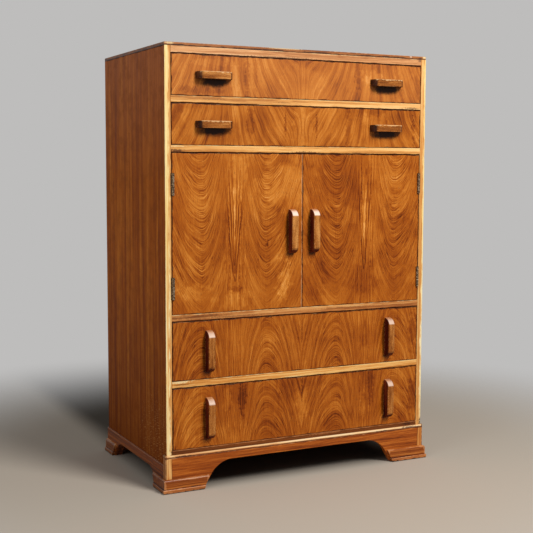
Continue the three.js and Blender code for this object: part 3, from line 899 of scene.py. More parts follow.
def steel_finish():
    skin = Finish("aged_steel")
    tone = skin.noise(skin.place, 1 / 3, 4, 0.6)
    bump = {**STEEL_RELIEF, "Height": tone}
    return skin.done({
        "Base Color": skin.ramp(tone, STEEL_COLOURS),
        "Metallic": skin.range(tone, 0.3, 0.7, 1.0, 0.55),
        "Roughness": skin.range(tone, 0.3, 0.7, 0.38, 0.62),
        "Normal": skin.add("ShaderNodeBump", bump),
    })


def paint(piece, material, chosen=None):
    """Gives the whole piece, or the faces chosen by their normal, a material."""
    slots = piece.data.materials
    if chosen is None:
        slots.clear()
        slots.append(material)
        return
    slots.append(material)
    for face in piece.data.polygons:
        if chosen(face):
            face.material_index = len(slots) - 1


def dress(piece, material, body, slot, *replaced):
    """Gives a finished piece its material, its body and the nodes it stands in for. The slot is not
    used.
    """
    paint(piece, material)
    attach(piece, body)
    if replaced:
        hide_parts(*replaced)


def refinish(node, material, edge=0.5 * MM):
    """A CAD node that keeps its own shape: its material, and its edges eased."""
    keeper = frame["nodes"][node]
    if not keeper.material_slots:
        keeper.data.materials.append(material)
    keeper.material_slots[0].material = material
    weld = keeper.modifiers.new("weld", "WELD")
    weld.merge_threshold = 0.002 * MM
    ease = keeper.modifiers.new("eased edges", "BEVEL")
    ease.width = edge
    ease.segments = 2
    ease.limit_method = "ANGLE"
    ease.harden_normals = True


STEEL = steel_finish()
PINE = straight_finish("drawer_pine_wood", PINE_COLOURS, 1, 14.0, 1.0, 0.62)
PINE_ACROSS = straight_finish("drawer_pine_across", PINE_COLOURS, 0, 14.0, 1.0, 0.62)
PLY = straight_finish("thin_ply", PLY_COLOURS, 0, 22.0, 0.9, 0.66)
INSIDE = straight_finish("inside_wood", INSIDE_COLOURS, 2, 16.0, 1.0, 0.6)
BOARD_INSIDE = straight_finish("inside_board", INSIDE_COLOURS, 0, 16.0, 1.0, 0.6)


# Carcase

def grown(box, gap):
    margin = Vector((gap, gap, gap))
    return box[0] - margin, box[1] + margin


# Levels in millimetres between which the sides darken downward, the sides grow paler upward,
# and the stiles grow paler downward
SIDE_GRIME = (620, 90)
SIDE_HAZE = (850, 1200)
STILE_FOOT_LEVELS = (760, 330)
PALE_SHARES = {-1: 0.62, 1: 0.3}  # how far the pale wood reaches across each stile


def side_finish(name, box):
    """Plain upright veneer, darker towards the floor, with its edges worn."""
    low, high = box

    def extra(skin):
        z = skin.axes[2]
        skin.tint(skin.range(z, *SIDE_GRIME, kind="LINEAR"), 0.6, (72, 22, 0))
        skin.tint(skin.range(z, *SIDE_HAZE, kind="LINEAR"), 0.45, (190, 120, 84))
        mottle = skin.range(skin.noise(skin.place, 1 / 40, 3, 0.6), 0.42, 0.66)
        skin.tint(mottle, 0.3, (110, 48, 8))
        slant = {"Vector": skin.place, "Rotation": (0.2, 0.0, 0.0)}
        _, lengthwise, across = skin.parts(skin.add("ShaderNodeMapping", slant))
        streak = skin.combine(0.0, lengthwise / 22, across / 1.5)
        scratches = skin.range(skin.noise(streak, 1, 3, 0.6), 0.56, 0.66)
        where = {"centre": (low.x / MM, -165.0, 150.0), "size": (60.0, 130.0, 110.0)}
        low_front = patch_mask(skin, place=skin.place, **where)
        skin.tint(scratches * low_front, 0.6, (216, 162, 100))
        skin.wear_line(2, high.z, -1, GRIME, 0.85, 2.4, 30.0, 0.5)
        skin.wear_line(1, high.y, -1, GRIME, 0.5, 2.4, 30.0, 0.5)
        skin.wear_line(1, low.y, 1, BARE, 0.95, 3.6, 16.0, -0.12)

    gloss = {"coat": 0.0, "specular": 0.03}
    return straight_finish(f"{name}_side_veneer", SIDE_COLOURS, 2, 4.6, 1.2, 0.55, extra, **gloss)


def stile_finish(name, sign, box):
    """Bare wood, pale towards the outside, tan towards the fronts, with dark spots at its foot."""
    low, high = in_mm(box)
    outer, inner = (high[0], low[0]) if sign > 0 else (low[0], high[0])
    pale_share = PALE_SHARES[sign]
    skin = Finish(f"{name}_stile_wood")
    lie = skin.grain_place(2, 2.0, 0.4)
    tone = straight_grain(skin, place=lie, stripe=4.5, contrast=1.7)
    x, _, z = skin.axes
    sway = skin.swing(skin.noise(skin.combine(x, 0.0, z * 0.25), 1 / 14, 3, 0.6), 1.3)
    across = skin.range(x, outer, inner, kind="LINEAR") + sway
    tan = skin.range(across, pale_share - 0.14, pale_share + 0.14)
    foot = skin.range(z, *STILE_FOOT_LEVELS)
    pale = skin.blend(foot, skin.ramp(tone, STILE_PALE), skin.ramp(tone, STILE_FOOT))
    skin.colour = skin.blend(tan, pale, skin.ramp(tone, STILE_TAN))
    pores = pore_mask(skin, place=lie, length=PORE_LENGTH)
    skin.tint(pores, 0.22, (120, 60, 20))
    foot_x = inner if sign < 0 else outer
    for half_x, half_z, rise in ((9.0, 14.0, 5.0), (5.0, 9.0, 14.0)):
        where = {"centre": (foot_x, low[1], low[2] + rise), "size": (half_x, PATCH_DEPTH, half_z)}
        skin.tint(patch_mask(skin, place=skin.place, grain_size=5.0, **where), 0.75, (70, 32, 14))
    skin.wear_line(0, outer * MM, -sign, CREAM, 0.8, 2.0, 20.0)
    # painted shade: a browner line along the inner edge, at the gap beside the fronts
    skin.wear_line(0, inner * MM, sign, (150, 76, 30), 0.6, 1.6, 24.0, 0.4)
    return skin.polish(0.55, tone, pores, coat=0.0)


def side_board(name, sign):
    """A side: its panel, and the pale strip that lips the front edge."""
    low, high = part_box(f"side_{name}")
    front, rear = low.y, low.y + LIPPING_DEPTH
    panel = soft_block(f"{name}_side_panel", (low.x, rear, low.z), high, BOARD_EDGE)
    notch_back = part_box("plinth_front")[1].y
    cut_box(
        panel,
        (low.x - OVERRUN, front - OVERRUN, low.z - OVERRUN),
        (high.x + OVERRUN, notch_back, BEAD_TOP),
    )
    back_low, back_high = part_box("back_panel")
    cut_box(
        panel,
        (back_low.x - FIT, back_low.y - FIT, back_low.z - OVERRUN),
        (back_high.x + FIT, back_high.y + OVERRUN, back_high.z + OVERRUN),
    )
    shelf_low, shelf_high = grown(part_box("cupboard_shelf"), FIT)
    cut_box(panel, shelf_low, shelf_high + Vector((0, OVERRUN, 0)))
    strip_low, strip_high = (low.x, front, BEAD_TOP), (high.x, rear, high.z)
    wear = (*SIDE_WEAR, 11 + sign)
    strip = rubbed_strip(f"{name}_side_lipping", strip_low, strip_high, 2, 1.0 * MM, *wear)
    for level in LEVELS:
        recess_low, recess_high = grown(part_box(f"frame_{name}_hinge_leaf_{level}"), FIT)
        for piece in (panel, strip):
            cut_box(piece, recess_low, recess_high)
    outside = side_finish(name, (low, high))
    dress(smooth(panel), outside, "carcase", "side_walnut", f"side_{name}")
    paint(panel, INSIDE, lambda face: face.normal.x * sign < -0.9)
    stile = stile_finish(name, sign, (Vector((low.x, low.y, BEAD_TOP)), high))
    dress(smooth(strip, 50), stile, "carcase", "lipped_board")
    paint(strip, outside, lambda face: face.normal.x * sign > 0.9)


def rail_finish(node, box):
    """Bare wood along the rail, with fine dark hairlines, stains, rubbed corners and painted shade
    along its lower edge.
    """
    low, high = box
    is_dark = node == "bottom_board"
    rubbed, evenness = (RUBBED, 0.6) if is_dark else (CREAM, 0.1)

    def extra(skin):
        x, _, z = skin.axes
        hairs = skin.range(skin.noise(skin.combine(x / 130, 3.0, z / 1.1)), 0.62, 0.7)
        skin.tint(hairs, 0.4, (110, 54, 24))
        skin.mark(MARKS[node])
        skin.wear_line(2, high.z, -1, rubbed, 0.6, 1.9, 24.0, evenness)
        # painted shade of the gap below the rail
        skin.wear_line(2, low.z, 1, (96, 40, 16), 0.7, 2.0, 30.0, 0.4)

    contrast = 1.1 if is_dark else 1.8
    return straight_finish(f"{node}_wood", RAIL_COLOURS[node], 0, 5.0, contrast, 0.5, extra, coat=0.0)


def lipped_board(node):
    """A board between the sides, with a rubbed strip along its front edge."""
    low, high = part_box(node)
    rear = low.y + LIPPING_DEPTH
    board = soft_block(f"{node}_core", (low.x, rear, low.z), high, THIN_EDGE, 2)
    dress(smooth(board), BOARD_INSIDE, "carcase", "lipped_board", node)
    wear = (*RAIL_WEAR, round(low.z * 100))
    strip = rubbed_strip(f"{node}_lipping", low, (high.x, rear, high.z), 0, 0.7 * MM, *wear)
    slot = "dark_rail" if node == "bottom_board" else "lipped_board"
    dress(smooth(strip, 50), rail_finish(node, (low, high)), "carcase", slot)


TOP_CORNER = 4 * MM  # the rubbed front right corner of the top
TOP_CHIPS = (
    (363, 1217, 5, 2, 0.75, (244, 220, 200)), (412, 1217, 8, 3, 0.8, CREAM),
    (-404, 1217, 16, 3, 0.6, CREAM), (-60, 1219, 60, 1.6, 0.5, CREAM),
)


def top_board():
    low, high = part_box("top_board")
    piece = block("top_veneered", low, high)

    def is_rubbed_corner(edge):
        return runs_along(edge, 2) and middle(edge).y < 0 < middle(edge).x

    bevel(piece, is_rubbed_corner, TOP_CORNER, 5)
    bevel(piece, lambda edge: not runs_along(edge, 2), 1.1 * MM)

    def extra(skin):
        skin.mark(TOP_CHIPS, ragged=0.4)
        skin.wear_edges((low, high), (214, 152, 98), 0.6, 2.4, 14.0, -0.05)
        skin.wear_line(2, low.z, 1, GRIME, 0.85, 3.4, 30.0, 0.7)

    wood = straight_finish("top_veneer", TOP_COLOURS, 0, 9.0, 1.5, 0.42, extra)
    dress(smooth(piece), wood, "carcase", "top_walnut", "top_board")


PIN_MARGIN = 6 * MM
PIN_ROWS = 9
PIN_COLUMNS = 7
PIN_HEAD = (1.6 * MM, 0.8 * MM)  # radius and height
PIN_STANDS = 0.5 * MM  # height of the heads over the back


def back_panel():
    """A thin back, pinned round its edges."""
    low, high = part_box("back_panel")
    rear = high.y - PIN_STANDS
    panel = soft_block("back_board", low, (high.x, rear, high.z), THIN_EDGE, 2)
    dress(smooth(panel), PLY, "carcase", "thin_panel", "back_panel")
    low_x, high_x = low.x + PIN_MARGIN, high.x - PIN_MARGIN
    low_z, high_z = low.z + PIN_MARGIN, high.z - PIN_MARGIN
    rows = [low_z + (high_z - low_z) * i / (PIN_ROWS - 1) for i in range(PIN_ROWS)]
    columns = [low_x + (high_x - low_x) * i / (PIN_COLUMNS - 1) for i in range(PIN_COLUMNS)]
    pins = [(x, z) for z in rows for x in (low_x, high_x)]
    pins += [(x, z) for x in columns[1:-1] for z in (low_z, high_z)]
    heads = []
    for x, z in pins:
        head = rod("pin_head", (x, rear, z), *PIN_HEAD, 1, 12)
        bevel(head, lambda edge: middle(edge).y > rear, 0.3 * MM, 2)
        heads.append(head)
    dress(smooth(join("back_pins", heads), 50), STEEL, "carcase", "aged_steel")


# Plinth and feet

PLINTH_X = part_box("plinth_front")[1].x
ARCH_EASE = 40 * MM
FRONT_FOOT = 113 * MM
FRONT_ARCH = 75 * MM
FRONT_LEAN = 44 * MM
SIDE_FOOT = 70 * MM
SIDE_ARCH = 49 * MM
SIDE_LEAN = 35 * MM
END_BAND = 18.0  # mm of pale upright grain at each end of the front plinth
END_BAND_CORE = 9.5  # mm from a band's start to its browner middle
END_EDGE = 4.0  # mm of the side's darker wood outside it


def arch_cutter(low, high, lean, axis, ease):
    """A block that narrows upward by the lean at both ends, its upper corners eased."""
    piece = block("arch", low, high)
    top = high[2]
    centre = [0.0, 0.0, 0.0]
    centre[axis] = (low[axis] + high[axis]) / 2
    scale = [1.0, 1.0, 1.0]
    scale[axis] = 1 - 2 * lean / (high[axis] - low[axis])
    resize = {"value": scale, "center_override": centre}
    edit(piece, "VERT", lambda corner: corner.co.z > top - MM, bpy.ops.transform.resize, **resize)
    bevel(piece, lambda edge: runs_along(edge, 1 - axis) and middle(edge).z > top - MM, ease, 12)
    return piece


def plinth_finish(name, along, box):
    """Level grain with a painted pinkish-grey highlight along its upper edge, and worn edges."""
    def extra(skin):
        # painted highlight along the upper edge
        skin.wear_line(2, box[1].z, -1, (176, 124, 100), 0.5, 3.0, 40.0, 0.4)
        skin.wear_edges(box, (206, 148, 92), 0.5, 1.6, 14.0, 0.0)

    return straight_finish(name, PLINTH_SIDE_COLOURS, along, 2.6, 1.8, 0.45, extra)


def front_plinth_finish(box):
    """Level grain between two pale upright bands at the ends."""
    skin = Finish("front_plinth_veneer")
    lie = skin.grain_place(0)
    tone = straight_grain(skin, place=lie, stripe=1.8, reach=110.0, contrast=1.1)
    band_tone = straight_grain(skin, place=skin.grain_place(2), stripe=4.0, contrast=1.7)
    pores = pore_mask(skin, place=lie, length=PORE_LENGTH)
    skin.colour = skin.ramp(tone, PLINTH_COLOURS)
    skin.tint(pores, 0.25, STAIN)
    out = abs(skin.axes[0])
    start = box[1].x / MM - END_BAND
    band = skin.range(out, start - 0.4, start + 0.4)
    skin.colour = skin.blend(band, skin.colour, skin.ramp(band_tone, BAND_COLOURS))
    edge = start + END_BAND - END_EDGE
    skin.tint(skin.range(out, edge - 0.5, edge + 0.5), 0.6, (104, 48, 16))
    skin.tint(skin.range(abs(out - (start + END_BAND_CORE)), 2.6, 0.8), 0.5, (176, 96, 36))
    skin.tint(skin.range(abs(out - start), 1.3, 0.5), 0.6, STAIN)
    skin.wear_edges(box, (232, 174, 120), 0.7, 2.4, 14.0, 0.15)
    # painted shadow under the bead, along the upper edge
    skin.wear_line(2, box[1].z, -1, (84, 34, 12), 0.8, 2.4, 40.0, 0.5)
    return skin.polish(0.42, tone, pores)


def plinth_front():
    low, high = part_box("plinth_front")
    piece = soft_block("front_plinth_board", low, high, BOARD_EDGE)
    inner = high.x - FRONT_FOOT
    drop = FRONT_LEAN / FRONT_ARCH * OVERRUN
    arch_low = (-inner - drop, low.y - OVERRUN, -OVERRUN)
    arch_high = (inner + drop, high.y + OVERRUN, FRONT_ARCH)
    cut(piece, arch_cutter(arch_low, arch_high, FRONT_LEAN + drop, 0, ARCH_EASE))
    material = front_plinth_finish((low, high))
    dress(smooth(piece), material, "carcase", "plinth_walnut", "plinth_front")


def plinth_sides():
    for name, _ in SIDES:
        low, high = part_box(f"plinth_{name}")
        piece = soft_block(f"{name}_plinth_board", low, high, BOARD_EDGE)
        drop = SIDE_LEAN / SIDE_ARCH * OVERRUN
        arch_low = (low.x - OVERRUN, FRONT_Y + SIDE_FOOT - drop, -OVERRUN)
        arch_high = (high.x + OVERRUN, high.y - SIDE_FOOT + drop, SIDE_ARCH)
        cut(piece, arch_cutter(arch_low, arch_high, SIDE_LEAN + drop, 1, ARCH_EASE * 0.7))
        material = plinth_finish(f"{name}_plinth_veneer", 1, (low, high))
        dress(smooth(piece), material, "carcase", "plinth_walnut", f"plinth_{name}")


BEAD_NOSE = 3.4 * MM
BEAD_END = 5 * MM  # each end is rounded over this length
BEAD_DARK_END = 4.5  # mm of darker wood at each end
BEAD_SPLIT = 0.42  # the crown starts at this share of the height
BEAD_CHIPPED = (0.26, 0.16)  # the chips grow from this far out, over this length
BEAD_MARKS = (
    (372, 100, 26, 3.2, 0.75, (92, 66, 62)),
    (-372, 98, 34, 3.0, 0.8, STAIN), (-250, 97, 26, 1.6, 0.5, STAIN), (278, 97.5, 26, 2.6, 0.85, STAIN),
    (330, 97, 50, 1.2, 0.4, STAIN), (404, 98, 10, 2.4, 0.7, STAIN), (-405, 102, 10, 2, 0.5, CREAM),
    (0, 98, 60, 1.4, 0.35, STAIN),
)


def bead_finish(box):
    """A cream crown over a browner underside, with stains where chips have gone and painted shadow
    along its lower edge.
    """
    low, high = in_mm(box)
    skin = Finish("bead_wood")
    tone = straight_grain(skin, place=skin.grain_place(0, 2.0, 0.4), stripe=5.0, contrast=1.5)
    x, _, z = skin.axes
    sway = skin.swing(skin.noise(skin.combine(x / 30, 0.0, 0.0), 1, 3, 0.6), 4.0)
    split = low[2] + BEAD_SPLIT * (high[2] - low[2])
    upper = skin.range(z + sway, split - 0.8, split + 0.8)
    skin.colour = skin.blend(upper, skin.ramp(tone, BEAD_LOWER), skin.ramp(tone, BEAD_UPPER))
    skin.mark(BEAD_MARKS)
    # painted shadow along the lower edge
    skin.wear_line(2, box[0].z, 1, (110, 50, 20), 0.8, 1.3, 30.0, 0.4)
    end = high[0] - BEAD_DARK_END
    skin.tint(skin.range(abs(x), end - 1, end + 1), 0.75, (104, 48, 16))
    return skin.polish(0.55, tone, 0.0, coat=0.0)


def plinth_bead():
    """The rubbed half-round strip over the plinth."""
    low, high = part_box("plinth_bead")
    piece = block("plinth_bead_strip", low, high)
    ease_front(piece, 0, BEAD_NOSE, 6)
    subdivide_along(piece, 0, 3 * MM)
    for vertex in piece.data.vertices:
        share = max(0.0, 1 - (vertex.co.y - low.y) / (3 * MM))
        place = Vector((vertex.co.x, 0, 0))
        rub = 0.5 * MM * ripple(place, 50 * MM, 2) + 0.5 * MM * ripple(place, 8 * MM, 4)
        near_end = max(0.0, abs(vertex.co.x) - BEAD_CHIPPED[0]) / BEAD_CHIPPED[1]
        chip = (0.6 + 3.0 * near_end) * MM * bites(place, 20 * MM, 9, 0.6)
        end_share = max(0.0, 1 - (high.x - abs(vertex.co.x)) / BEAD_END)
        vertex.co.y += share * (rub + chip + 2.0 * MM * end_share ** 2)
    piece.data.update()
    dress(smooth(piece, 50), bead_finish((low, high)), "carcase", "worn_bead", "plinth_bead")


FOOT_FACE = 6.8 * MM  # the moulding's face out from the plinth
FOOT_NOSE = 6.4 * MM
FOOT_BEAD_HEIGHT = 12 * MM
FOOT_BEAD_PROUD = 3.2 * MM
FOOT_LEAN = 17 * MM
NEAR = 0.1 * MM  # two faces this close count as one


def foot_finish(name, along, box):
    """Level grain with a rubbed corner, painted highlights on the nose and the floor bead, painted
    shadow over the bead and at the floor, and painted shade on the faces towards the side.
    """
    low, high = box
    inset = Vector((FOOT_BEAD_PROUD, FOOT_BEAD_PROUD, 0))
    nose_box = (low + inset, high - inset + Vector((0, 0, 1.2 * MM)))
    bead_top = FOOT_BEAD_HEIGHT / MM

    def extra(skin):
        x, y, z = skin.axes
        # painted highlight on the rounded nose
        skin.wear_edges(nose_box, (226, 160, 104), 0.42, 5.0, 40.0, 0.6)
        skin.wear_edges(box, (240, 184, 120), 0.6, 3.0, 10.0, 0.2)
        skin.tint(skin.range(z, bead_top, bead_top - 2), 0.4, (196, 122, 68))
        # painted shadow in the groove over the bead, and a painted highlight on the bead's top
        groove = skin.wear(abs(z - (bead_top + 0.6)), 1.2, 30.0, 0.5)
        skin.tint(groove, 0.85, (60, 22, 8))
        ridge = skin.wear(abs(z - (bead_top - 1.8)), 1.6, 20.0, 0.1)
        skin.tint(ridge, 0.75, (214, 156, 110))
        # painted shade on the faces towards the side
        from_side = max(abs(low.x), abs(high.x)) / MM - abs(x)
        past_corner = skin.range(y, low.y / MM + 3, low.y / MM + 7)
        skin.tint(skin.range(from_side, 9.0, 6.0) * past_corner, 0.5, (66, 22, 4))
        # painted contact shadow at the floor
        skin.wear_line(2, 0.0, 1, GRIME, 0.85, 3.2, 12.0, 0.7)

    return straight_finish(name, FOOT_COLOURS, along, 2.4, 1.3, 0.38, extra, coat=0.1)


def lean_cutter(axis, end, way, across, height):
    """All past a foot's inner end, which leans back by FOOT_LEAN from its base to its top."""
    spare = FOOT_LEAN / height * OVERRUN
    near = end - way * (FOOT_LEAN + spare)
    past = end + way * 80 * MM
    lows, highs = [0, 0, -OVERRUN], [0, 0, height + OVERRUN]
    lows[axis], highs[axis] = sorted((near, past))
    lows[1 - axis], highs[1 - axis] = sorted(across)
    cutter = block("end", lows, highs)
    move = [0.0, 0.0, 0.0]
    move[axis] = way * (FOOT_LEAN + 2 * spare)

    def is_upper_end(corner):
        return abs(corner.co[axis] - near) < NEAR and corner.co.z > 0

    edit(cutter, "VERT", is_upper_end, bpy.ops.transform.translate, value=move)
    return cutter


def foot_moulding(node, front, sign):
    """A moulding round a foot: a rounded nose above, an upright face and a bead at the floor."""
    low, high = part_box(node)
    outer_x = PLINTH_X + FOOT_FACE
    tip_x = low.x if sign > 0 else high.x
    xs = sorted((sign * outer_x, tip_x if front else sign * PLINTH_X))
    face_y = low.y + FOOT_BEAD_PROUD if front else low.y
    piece = block(f"{node}_shaped", (xs[0], face_y, low.z), (xs[1], high.y, high.z))

    def is_outside(point, proud=0.0):
        on_side = abs(abs(point.x) - outer_x - proud) < NEAR
        return on_side or (front and abs(point.y - face_y + proud) < NEAR)

    def is_bead_face(face):
        centre = face.calc_center_median()
        return centre.z < FOOT_BEAD_HEIGHT and abs(face.normal.z) < 0.1 and is_outside(centre)

    def is_bead_edge(edge):
        z = middle(edge).z
        on_rim = min(abs(z), abs(z - FOOT_BEAD_HEIGHT)) < NEAR
        return on_rim and is_outside(middle(edge), FOOT_BEAD_PROUD)

    bevel(piece, lambda edge: is_outside(middle(edge)) and middle(edge).z > high.z - MM, FOOT_NOSE, 6)
    level = {"plane_co": (0, 0, FOOT_BEAD_HEIGHT), "plane_no": (0, 0, 1)}
    edit(piece, "FACE", every, bpy.ops.mesh.bisect, **level)
    push = {"value": FOOT_BEAD_PROUD, "use_even_offset": True}
    extrude = bpy.ops.mesh.extrude_region_shrink_fatten
    edit(piece, "FACE", is_bead_face, extrude, TRANSFORM_OT_shrink_fatten=push)
    bevel(piece, is_bead_edge, FOOT_BEAD_PROUD * 0.9, 5)
    outside = (sign * (PLINTH_X - OVERRUN), sign * (outer_x + OVERRUN))
    if front:
        plinth_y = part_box("plinth_front")[0].y
        x_low, x_high = sorted((sign * PLINTH_X, 0.0))
        cut_box(piece, (x_low, plinth_y, -OVERRUN), (x_high, high.y + OVERRUN, high.z + OVERRUN))
        cut(piece, lean_cutter(0, tip_x, -sign, (low.y - OVERRUN, plinth_y + OVERRUN), high.z))
        cut(piece, lean_cutter(1, high.y, 1, outside, high.z))
    else:
        cut(piece, lean_cutter(1, low.y, -1, outside, high.z))
    material = foot_finish(f"{node}_wood", 0 if front else 1, (low, high))
    dress(smooth(piece), material, "carcase", "plinth_walnut", node)


# Fronts

CROWN_GAINS = {
    "bands": 0.4, "lines": 0.8, "fine": 0.7, "veins": 0.26, "fibre": 0.5, "streaks": 0.8, "clouds": 0.5,
}
LOWER_GAINS = {
    "bands": 0.7, "lines": 0.7, "fine": 0.5, "veins": 0.26, "fibre": 0.6, "streaks": 0.8, "clouds": 0.5,
}
FAN_GAINS = {"bands": 1.0, "lines": 0.6, "fine": 0.5, "veins": 0.12, "fibre": 0.3, "clouds": 0.9}
DOOR_LEAVES = {"steepness": -0.5, "growth": 0.0022, "point": 0.4}
DRAWER_LEAVES = {
    1: (fanned_rings, {"level": 1136.0, "spread": 0.85, "wander": 9.0}),
    2: (fanned_rings, {"level": 1005.0, "spread": 0.95, "wander": 13.0}),
    3: (crown_rings, {"way": -1.0, "steepness": 1.4}),
    4: (crown_rings, {"way": -1.0, "steepness": 1.2, "wander": 9.0}),
}


def door(name, sign):
    node = f"door_{name}"
    low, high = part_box(node)
    piece = soft_block(f"{name}_door_board", low, high, BOARD_EDGE)
    axis_x = sign * (INNER_X - HINGE_RADIUS)
    edge_x = high.x if sign > 0 else low.x
    clear = HINGE_RADIUS + FIT
    start_y = low.y - OVERRUN
    past_x = edge_x + sign * OVERRUN
    for level in LEVELS:
        leaf_low, leaf_high = grown(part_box(f"door_{name}_hinge_leaf_{level}"), FIT)
        bottom, top = leaf_low.z - FIT, leaf_high.z + FIT
        knuckle_back = leaf_low.y + FIT + HINGE_RADIUS + clear
        leaf_xs = sorted((past_x, edge_x - sign * (HINGE_LEAF + FIT)))
        knuckle_xs = sorted((past_x, axis_x - sign * clear))
        cut_box(piece, (leaf_xs[0], start_y, bottom), (leaf_xs[1], leaf_high.y, top))
        cut_box(piece, (knuckle_xs[0], start_y, bottom), (knuckle_xs[1], knuckle_back, top))
    material = veneer_finish(node, crown_rings, DOOR_LEAVES, CROWN_COLOURS, (low, high), CROWN_GAINS)
    dress(smooth(piece), material, f"{name}_door", "crown_walnut", node)
    paint(piece, INSIDE, lambda face: face.normal.y > 0.9)


def drawer(number):
    """A drawer's front, with its box's own boards behind it."""
    node = f"drawer_{number}_front"
    low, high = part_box(node)
    piece = soft_block(f"drawer_{number}_face", low, high, BOARD_EDGE)
    neighbours = ("side_left", "side_right", "bottom")
    cut(piece, *[merged_copy(f"drawer_{number}_{part}") for part in neighbours])
    rings_group, settings = DRAWER_LEAVES[number]
    look = (FAN_COLOURS, (low, high), FAN_GAINS)
    if rings_group == crown_rings:
        look = (CROWN_COLOURS, (low, high), LOWER_GAINS)
    material = veneer_finish(node, rings_group, settings, *look)
    dress(smooth(piece), material, f"drawer_{number}", "crown_walnut", node)
    paint(piece, PINE_ACROSS, lambda face: face.normal.y > 0.9)
    woods = {"side_left": PINE, "side_right": PINE, "back": PINE_ACROSS, "bottom": PLY}
    for part, wood in woods.items():
        refinish(f"drawer_{number}_{part}", wood, 0.4 * MM)


# Pulls

PULL_END = 17 * MM  # length of each rounded end
PULL_RIM = 1.1 * MM


def pull_form(length, width, projection):
    """A pull that lies level at the origin, seated on y = 0. Each end is an arc that starts
    square to the seat and meets the flat front at an edge."""
    radius = (PULL_END ** 2 + projection ** 2) / (2 * PULL_END)
    half = length / 2
    piece = block("pull_form", (-half, -projection, -width / 2), (half, 0, width / 2))
    for sign in (-1, 1):
        xs = sorted((sign * (half - PULL_END), sign * (half + OVERRUN)))
        outside = block("outside", (xs[0], -projection - OVERRUN, -width), (xs[1], OVERRUN, width))
        cut(outside, rod("arc", (sign * (half - radius), 0, 0), radius, 3 * width, 2, 128))
        cut(piece, outside)
    edit(piece, "VERT", every, bpy.ops.mesh.remove_doubles, threshold=0.05 * MM)

    def is_rim(edge):
        ends = [vertex.co for vertex in edge.verts]
        on_side = all(abs(abs(end.z) - width / 2) < NEAR for end in ends)
        return on_side and not runs_along(edge, 2) and any(end.y < -NEAR for end in ends)

    bevel(piece, is_rim, PULL_RIM, 3)
    return smooth(piece, 28)


# How much lighter some pulls are than the others
PULL_LIFTS = {
    "door_left_handle": 0.14, "door_right_handle": 0.16, "drawer_1_handle_left": 0.22,
    "drawer_1_handle_right": -0.14, "drawer_2_handle_right": -0.1,
}


def pull_finish(node, along, box):
    """Speckled brown on the front, painted shade in dark maroon on the faces behind it, and a painted
    highlight on the upper edge or the rounded top end.
    """
    skin = Finish(f"{node}_wood")
    lie = skin.grain_place(along, 2.0, 0.6)
    tone = straight_grain(skin, place=lie, stripe=5.0, reach=60.0, contrast=1.3)
    tone += skin.swing(skin.noise(skin.place, 1 / 1.8, 2, 0.7), 1.5)
    tone += PULL_LIFTS.get(node, 0.0)
    pores = pore_mask(skin, place=lie, length=4.0, rarity=0.56)
    low, high = in_mm(box)
    x, y, z = skin.axes
    depth = y - low[1]
    # painted shade on every face behind the front
    behind = skin.range(depth, 1.2, 5.0)
    side_colours = PULL_SIDE
    if along == 2:
        from_middle = abs(x - (low[0] + high[0]) / 2)
        half = (high[0] - low[0]) / 2
        # the rounded top end keeps the front's colours, under a painted highlight
        crown = skin.range(high[2] - z, PULL_END / MM + 2, PULL_END / MM - 1)
        crown = crown * skin.range(from_middle, half - 0.4, half - 1.8)
        behind = behind * (1.0 - crown)
        side_colours = PULL_LEFT
    skin.colour = skin.blend(behind, skin.ramp(tone, PULL_FRONT), skin.ramp(tone, side_colours))
    skin.tint(pores, 0.45, (48, 22, 10))
    if along == 0:
        # painted highlight along the upper edge
        upper = skin.wear(high[2] - z, 4.2, 7.0, 0.3)
        skin.tint(upper * skin.range(depth, 9.0, 4.0), 0.8, (236, 190, 134))
    else:
        # painted highlight on the rounded top end, brightest near the front
        skin.tint(crown, 0.3, (206, 166, 140))
        lit = crown * skin.range(depth, 17.0, 3.0)
        skin.tint(lit, 0.8 if node.startswith("door") else 0.5, (255, 232, 216))
    skin.wear_edges(box, (216, 160, 108), 0.6, 2.0, 7.0, -0.05)
    rough = skin.range(behind, 0.0, 1.0, 0.32, 0.6)
    return skin.polish(rough, tone, pores, coat=0.02, specular=0.14)


def pull_rows():
    """Each pull's node, the body it rides on, and whether it stands upright."""
    for side, _ in SIDES:
        yield f"door_{side}_handle", f"{side}_door", True
        for number in DRAWERS:
            yield f"drawer_{number}_handle_{side}", f"drawer_{number}", number > 2


def pulls():
    forms = {}
    for node, body, is_upright in pull_rows():
        low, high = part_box(node)
        size = high - low
        length, width = (size.z, size.x) if is_upright else (size.x, size.z)
        key = round(length / MM)
        if key not in forms:
            forms[key] = pull_form(length, width, size.y)
        turn = turned(90 if is_upright else 0, "Y")
        seat = Vector(((low.x + high.x) / 2, high.y, (low.z + high.z) / 2))
        pull = copy_to(forms[key], f"{node}_shaped", turn, seat)
        material = pull_finish(node, 2 if is_upright else 0, (low, high))
        dress(pull, material, body, "handle_walnut", node)
    for form in forms.values():
        remove(form)


# Hinges and screws

HINGE_HEIGHT = 60 * MM
HINGE_SCREW = (3.0 * MM, 0.5 * MM)  # radius and height of the head
HINGE_SCREW_STEPS = ((0, -20), (4, 0), (0, 20))  # mm back and up from the leaf's middle


def screw_form(radius, height):
    """A slotted screw head at the origin that looks along z."""
    head = rod("screw_form", (0, 0, height / 2), radius, height, 2, 24)
    bevel(head, lambda edge: middle(edge).z > height * 0.9, 0.2 * MM, 2)
    slot = 0.45 * MM
    cut_box(head, (-radius * 2, -slot, height * 0.35), (radius * 2, slot, height * 2))
    return smooth(head, 40)


def round_bar(name, centre, radius, length, sides):
    bar = rod(name, centre, radius, length, 2, sides)
    bevel(bar, lambda edge: not runs_along(edge, 2), 0.4 * MM, 2)
    return bar


